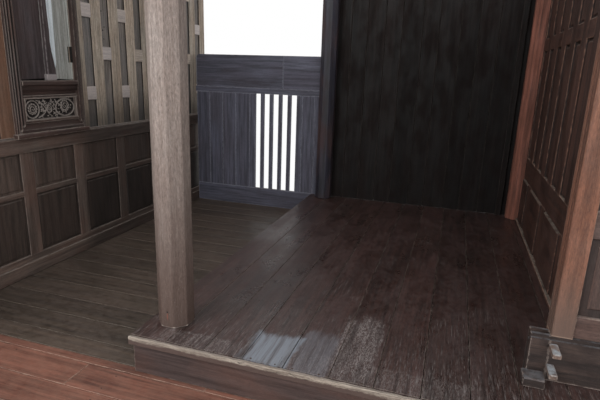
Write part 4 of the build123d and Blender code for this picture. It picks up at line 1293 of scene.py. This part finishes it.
def makeCarving(spec):
    (x0, y0, z0), (x1, y1, z1) = bayBox("carved_panel")
    width, height = y1 - y0, z1 - z0
    columns, rows = int(width / spec["cell"]), int(height / spec["cell"])
    u = np.linspace(0, width, columns)
    v = np.linspace(0, height, rows)
    gridU, gridV = np.meshgrid(u, v)
    relief = np.zeros_like(gridU)

    def stroke(points, widths, level=1.0, ridge=0.3):
        # Raises a rounded, tapering stem with a groove along its middle.
        points = np.asarray(points, float)
        reach = max(widths) + 1
        for (a, wa), (b, wb) in zip(zip(points[:-1], widths[:-1]), zip(points[1:], widths[1:])):
            c0, c1 = np.searchsorted(u, (min(a[0], b[0]) - reach, max(a[0], b[0]) + reach))
            r0, r1 = np.searchsorted(v, (min(a[1], b[1]) - reach, max(a[1], b[1]) + reach))
            area = (slice(r0, r1), slice(c0, c1))
            du, dv = b - a
            span = max(du * du + dv * dv, 1e-6)
            t = np.clip(((gridU[area] - a[0]) * du + (gridV[area] - a[1]) * dv) / span, 0, 1)
            distance = np.hypot(gridU[area] - a[0] - t * du, gridV[area] - a[1] - t * dv)
            ratio = distance / np.maximum(wa + (wb - wa) * t, 0.3)
            rounded = np.clip(1 - ratio ** 3, 0, 1) * (1 - ridge * np.exp(-(ratio / 0.25) ** 2))
            relief[area] = np.maximum(relief[area], level * rounded)

    def curve(knots):
        # A smooth line of about 26 points through its knots.
        knots = np.asarray(knots, float)
        knots = np.concatenate([2 * knots[:1] - knots[1:2], knots, 2 * knots[-1:] - knots[-2:-1]])
        points = []
        for k in range(1, len(knots) - 2):
            p0, p1, p2, p3 = knots[k - 1:k + 3]
            for t in np.linspace(0, 1, max(4, 26 // (len(knots) - 3)), endpoint=False):
                points.append(0.5 * (2 * p1 + (p2 - p0) * t + (2 * p0 - 5 * p1 + 4 * p2 - p3) * t * t
                                     + (3 * p1 - p0 - 3 * p2 + p3) * t ** 3))
        return points + [knots[-2]]

    def leaf(u0, v0, angle, length, thick, curl):
        points, widths = [(u0, v0)], [1.2]
        for k in range(1, 9):
            t = k / 8
            turn = angle + curl * t * t
            points.append((points[-1][0] + length / 8 * math.cos(turn), points[-1][1] + length / 8 * math.sin(turn)))
            widths.append(thick * math.sin(math.pi * (0.12 + 0.84 * t)) + 0.8)
        stroke(points, widths, 0.88, 0.45)

    for (cu, cv), (ru, rv), thick in spec["rings"]:
        turn = np.linspace(0, 2 * math.pi, 40)
        stroke([(cu + ru * math.cos(a), cv + rv * math.sin(a)) for a in turn], [thick] * 40)
    for ((cu, cv), radius, turnsCount, start, way, thick), (count, size) in zip(spec["whorls"], spec["leaves"]):
        points, widths = [], []
        for k in range(46):
            t = k / 45
            angle = start + way * turnsCount * 2 * math.pi * t
            r = radius * (1 - t) ** 0.8 + 2.0
            points.append((cu + r * math.cos(angle), cv + r * math.sin(angle)))
            widths.append(thick * (1 - 0.35 * t))
        stroke(points, widths)
        for k in range(count):
            angle = 2 * math.pi * k / count + 0.3
            leaf(cu + (radius + 2) * math.cos(angle), cv + (radius + 2) * math.sin(angle), angle + way * 0.9,
                 23 * size, 6.2, way * 1.3)
    for knots, thick in spec["stems"]:
        line = curve(knots)
        stroke(line, [thick * (1 - 0.3 * k / len(line)) for k in range(len(line))])
        for k in range(3, len(line) - 2, 5):
            (ax, ay), (bx, by) = line[k - 1], line[k + 1]
            side = 1 if (k // 5) % 2 else -1
            leaf(*line[k], math.atan2(by - ay, bx - ax) + side * 0.9, 17, 4.2, side * 1.1)
    loose = random.Random(27)
    for k in range(spec["fill"]):
        # Small leaves fill what ground is still bare.
        place = (loose.uniform(8, width - 8), loose.uniform(8, height - 8))
        r, c = int(place[1] / height * (rows - 1)), int(place[0] / width * (columns - 1))
        if relief[max(r - 3, 0):r + 4, max(c - 3, 0):c + 4].max() < 0.3:
            leaf(place[0] - 5, place[1], loose.uniform(-1, 1), 13, 3.8, loose.choice((-1.4, 1.4)))
    rough = np.random.default_rng(4).normal(0, 0.12, relief.shape)
    depth = spec["ground"] + (spec["top"] - spec["ground"]) * np.clip(relief, 0, 1) + rough
    edge = np.minimum.reduce([gridU, width - gridU, gridV, height - gridV])
    depth = np.where(edge < 0.5, spec["ground"], np.clip(depth, 0.5, spec["top"]))
    points = [(leftFace + depth[r, c], y0 + u[c], z0 + v[r]) for r in range(rows) for c in range(columns)]
    faces = [(r * columns + c, r * columns + c + 1, (r + 1) * columns + c + 1, (r + 1) * columns + c)
             for r in range(rows - 1) for c in range(columns - 1)]
    rim = [*range(columns), *(r * columns + columns - 1 for r in range(1, rows)),
           *((rows - 1) * columns + c for c in range(columns - 2, -1, -1)),
           *(r * columns for r in range(rows - 2, 0, -1))]
    base = len(points)
    points += [(leftFace, *points[i][1:]) for i in rim]
    for k, i in enumerate(rim):
        j = (k + 1) % len(rim)
        faces.append((i, base + k, base + j, rim[j]))
    faces.append(tuple(range(base, base + len(rim)))[::-1])
    carving = Timbers()
    carving.add(points, faces, "y", "x", seed=3.3)
    carving.object("carved_timber", "carved_panel", smooth=60)


makeCarving(carvingShape)
print("window ready")

rightWall = {
    "bevel": 5, "thickness": 45, "columns": (930, 1210, 1490, 1770, 2050, 2330, 2610), "columnWidth": 145,
    "lower": ((1180, 1660), (1835, 2315), (2490, 2755)), "rows": (360, 727, 905), "crossing": 1757,
    "crossRail": 99, "tallTop": 2466, "top": 2600, "ends": (395, 2836), "jamb": (665, 900),
    "jambStep": 38, "jambProud": 14,
}


def makeRightWall(spec):
    bevel = spec["bevel"]
    wall = Wall("right", spec)
    base, lowTop, waistTop = spec["rows"]
    front, back = spec["ends"]
    wall.rail(front, back, lowTop, waistTop, step=120, uneven=0.7)
    wall.rail(front, back, spec["tallTop"], spec["top"], (bevel, 1.0), step=120, uneven=0.6)
    for u0, u1 in solidRuns(front, spec["lower"], back):
        wall.stile(u0, u1, base, lowTop + bevel, step=80, uneven=0.7)
    for u0, u1 in spec["lower"]:
        wall.panels.board(*wallBox("right", u0, u1, base, lowTop, -27, 10), "y", "-x", 8, step=80, uneven=1.2,
                          endRound=7)
    columns = [(u, u + spec["columnWidth"]) for u in spec["columns"]]
    for u0, u1 in solidRuns(front, columns, back):
        wall.stile(u0, u1, waistTop - bevel, spec["tallTop"] + bevel, step=80, uneven=0.8)
    for column in columns:
        wall.column(*column, [spec["crossing"]], spec["crossRail"], waistTop, spec["tallTop"], wall.panel)
    wall.frame.object("right_wall_timber", "right_wall_frame")
    wall.panels.object("right_wall_timber", "right_wall_panels")
    nodeBoard("right_wall_sole", "right_wall_timber", "y", "-x", 3)
    jamb = Timbers()
    u0, u1 = spec["jamb"]
    step, proud = spec["jambStep"], spec["jambProud"]
    for k in range(3):
        jamb.board(*wallBox("right", u0 + step * k, u1 - step * k, base, spec["top"], proud * k, proud * (k + 1)),
                   "z", "-x", 4, step=90, uneven=0.8)
    jamb.object("right_wall_timber", "right_wall_jamb")


makeRightWall(rightWall)

frontWall = {
    "hole": (1873, 2237), "right": 2341, "rows": ((634, 958), (1072, 1700), (1814, 2466)), "base": 536.0, "top": 2600,
    "thickness": 50, "bevel": 5,
    # the stile's flutes: where each starts behind its front, and the groove as (into the side, back)
    "flutes": (26, 62), "flute": ((0, 1), (5, 0), (7, -2), (7, -7), (5, -9), (0, -10)),
    "stileFront": 12.0, "stileDepth": 102.0,
    "sillEnd": 1793.0,  # where the sill's long groove stops
    "sillGroove": ((0, -8), (-40, -8), (-40, -36), (0, -36)),
}


def makeFrontWall(spec):
    bevel = spec["bevel"]
    wall = Wall("front", spec)
    left, right = spec["hole"]
    wall.stile(right, spec["right"], spec["base"], spec["top"], (bevel, 1.5), step=80, uneven=0.8)
    for v0, v1 in solidRuns(spec["base"], spec["rows"], spec["top"]):
        wall.rail(left, right + bevel, v0, v1, step=60, uneven=0.8)
    for v0, v1 in spec["rows"]:
        wall.panel(left, right, v0, v1, inset=32, slope=8)
    wall.frame.object("front_wall_timber", "front_wall_frame")
    wall.panels.object("front_wall_timber", "front_wall_panels")

    stile = Timbers()
    (x0, y0, z0), (x1, y1, z1) = bayBox("corner_stile")
    out, back = spec["stileFront"], spec["stileFront"] - spec["stileDepth"]
    # across the timber a profile runs to the left here
    profile = [(x0, back), (x1, back), (x1, out - 2), (x1 - 2, out), (x0 + 4, out), (x0, out - 4)]
    profile += [(x0 + u, out - start + w) for start in spec["flutes"] for u, w in spec["flute"]]
    stile.bar([(-x, w) for x, w in profile][::-1], "z", "-y", (0, frontFace, spec["base"]), z1 - spec["base"],
              endRound=1.0, step=70, uneven=0.8, seed=2.2)
    stile.board((x0, frontFace + spec["thickness"], z0), (x1, y1, spec["base"]), "z", "-y", 2, seed=2.2)
    stile.object("orange_stile_timber", "corner_stile")

    sill = Timbers()
    (x0, y0, z0), (x1, y1, z1) = bayBox("sill_beam")
    front = [(z0, -50), (z0, 22), (z1 - 14, 22), (z1 - 14, 9), (z1, 9)]
    groove = [(z1 + v, w) for v, w in spec["sillGroove"]]
    end = spec["sillEnd"]
    sill.bar([*front, *groove, (z1, -50)][::-1], "x", "-y", (x0, frontFace, 0), end - x0, endRound=2.0, step=40,
             uneven=0.8, seed=6.1)
    sill.bar([*front, (z1, -50)][::-1], "x", "-y", (end, frontFace, 0), x1 - end, endRound=0.5, step=60, uneven=0.8,
             seed=6.1)
    sill.object("sill_timber", "sill_beam")
    nodeBoard("sill_block", "sill_timber", "x", "z", 6, endRound=5, step=20, uneven=1.5)
    pegs = Timbers()
    for box in solidBoxes("sill_pegs"):
        pegs.board(*box, "-y", "z", 4, back=3, endRound=4, step=12, uneven=1.2)
    pegs.object("peg_timber", "sill_pegs")


makeFrontWall(frontWall)

parapetShape = {"radius": 40, "seamX": -330, "ease": 2.5}


def makeParapetPanel(spec):
    (x0, y0, z0), (x1, y1, z1) = bayBox("parapet_panel")
    panel = Timbers()
    radius, seam, ease = spec["radius"], spec["seamX"], spec["ease"]
    arc = [(x0 + radius - radius * math.cos(t), z1 - radius + radius * math.sin(t))
           for t in np.linspace(0, math.pi / 2, 9)]
    for outline in ([(x0, z0), *arc, (seam - 1, z1), (seam - 1, z0)],
                    [(seam + 1, z0), (seam + 1, z1), (x1, z1), (x1, z0)]):
        outline = np.array(outline)
        inner = outline + np.where(outline < outline.mean(0), ease, -ease)
        points = [(x, y, z) for y, ring in ((y1, outline), (y0 + ease, outline), (y0, inner)) for x, z in ring]
        panel.add(points, loftFaces(len(outline), 3), "x", "-y")
    panel.object("parapet_timber", "parapet_panel")


makeParapetPanel(parapetShape)
print("right side and parapet ready")


# Floor, light and backdrop

studio = {
    "floorColour": "e9e7e3", "floorSize": 14.0, "zenith": 0.42, "horizon": 1.15,
    "fade": (2.2, 3.3),  # how far out the floor turns into the white of the background
    "lamps": (
        # name, place, aim, size, power in watts
        ("keyLamp", (-2.6, -4.8, 3.6), (0.2, 0.4, 0.9), 3.2, 210),
        ("fillLamp", (2.8, -4.6, 3.0), (-1.2, 0.4, 1.1), 3.2, 110),
    ),
}


def makeStudio(spec):
    material, g = freshMaterial("studioFloor")
    shader = g.tree.nodes["Principled BSDF"]
    g.put(shader.inputs["Base Color"], colour(spec["floorColour"]))
    g.put(shader.inputs["Roughness"], 0.9)
    far = g.remap(g.vec("LENGTH", g.place()), *spec["fade"])
    far = g.times(far, g.add("ShaderNodeLightPath").outputs["Is Camera Ray"])
    glow = g.add("ShaderNodeEmission", {"Color": (1, 1, 1, 1), "Strength": 1.0})
    blend = g.add("ShaderNodeMixShader", {0: far, 1: shader.outputs[0], 2: glow.outputs[0]})
    g.put(g.tree.nodes["Material Output"].inputs[0], blend.outputs[0])
    mesh = bpy.data.meshes.new("studioFloor")
    h = spec["floorSize"]
    mesh.from_pydata([(-h, -h, 0), (h, -h, 0), (h, h, 0), (-h, h, 0)], [], [(0, 1, 2, 3)])
    mesh.materials.append(material)
    floor = link(bpy.data.objects.new("studioFloor", mesh))
    world = bpy.data.worlds.new("studioSky")
    bpy.context.scene.world = world
    world.use_nodes = True
    world.node_tree.nodes.clear()
    g = Graph(world.node_tree)
    camera, glossy, through = (g.add("ShaderNodeLightPath").outputs[f"Is {kind} Ray"]
                               for kind in ("Camera", "Glossy", "Transmission"))
    seen = g.largest(camera, g.largest(glossy, through))
    height = g.split(g.add("ShaderNodeTexCoord").outputs["Generated"])[2]
    soft = g.remap(height, 0.0, 0.9, spec["horizon"], spec["zenith"])
    strength = g.plus(g.times(soft, g.minus(1.0, seen)), seen)
    sky = g.add("ShaderNodeBackground", {"Color": (1, 1, 1, 1), "Strength": strength})
    g.add("ShaderNodeOutputWorld", {0: sky.outputs[0]})
    for name, place, aim, size, power in spec["lamps"]:
        data = bpy.data.lights.new(name, "AREA")
        data.shape, data.size, data.energy = "SQUARE", size, power
        lamp = link(bpy.data.objects.new(name, data))
        lamp.location = place
        lamp.rotation_euler = (Vector(aim) - Vector(place)).to_track_quat("-Z", "Y").to_euler()


makeStudio(studio)
bpy.context.scene.view_settings.view_transform = "Standard"
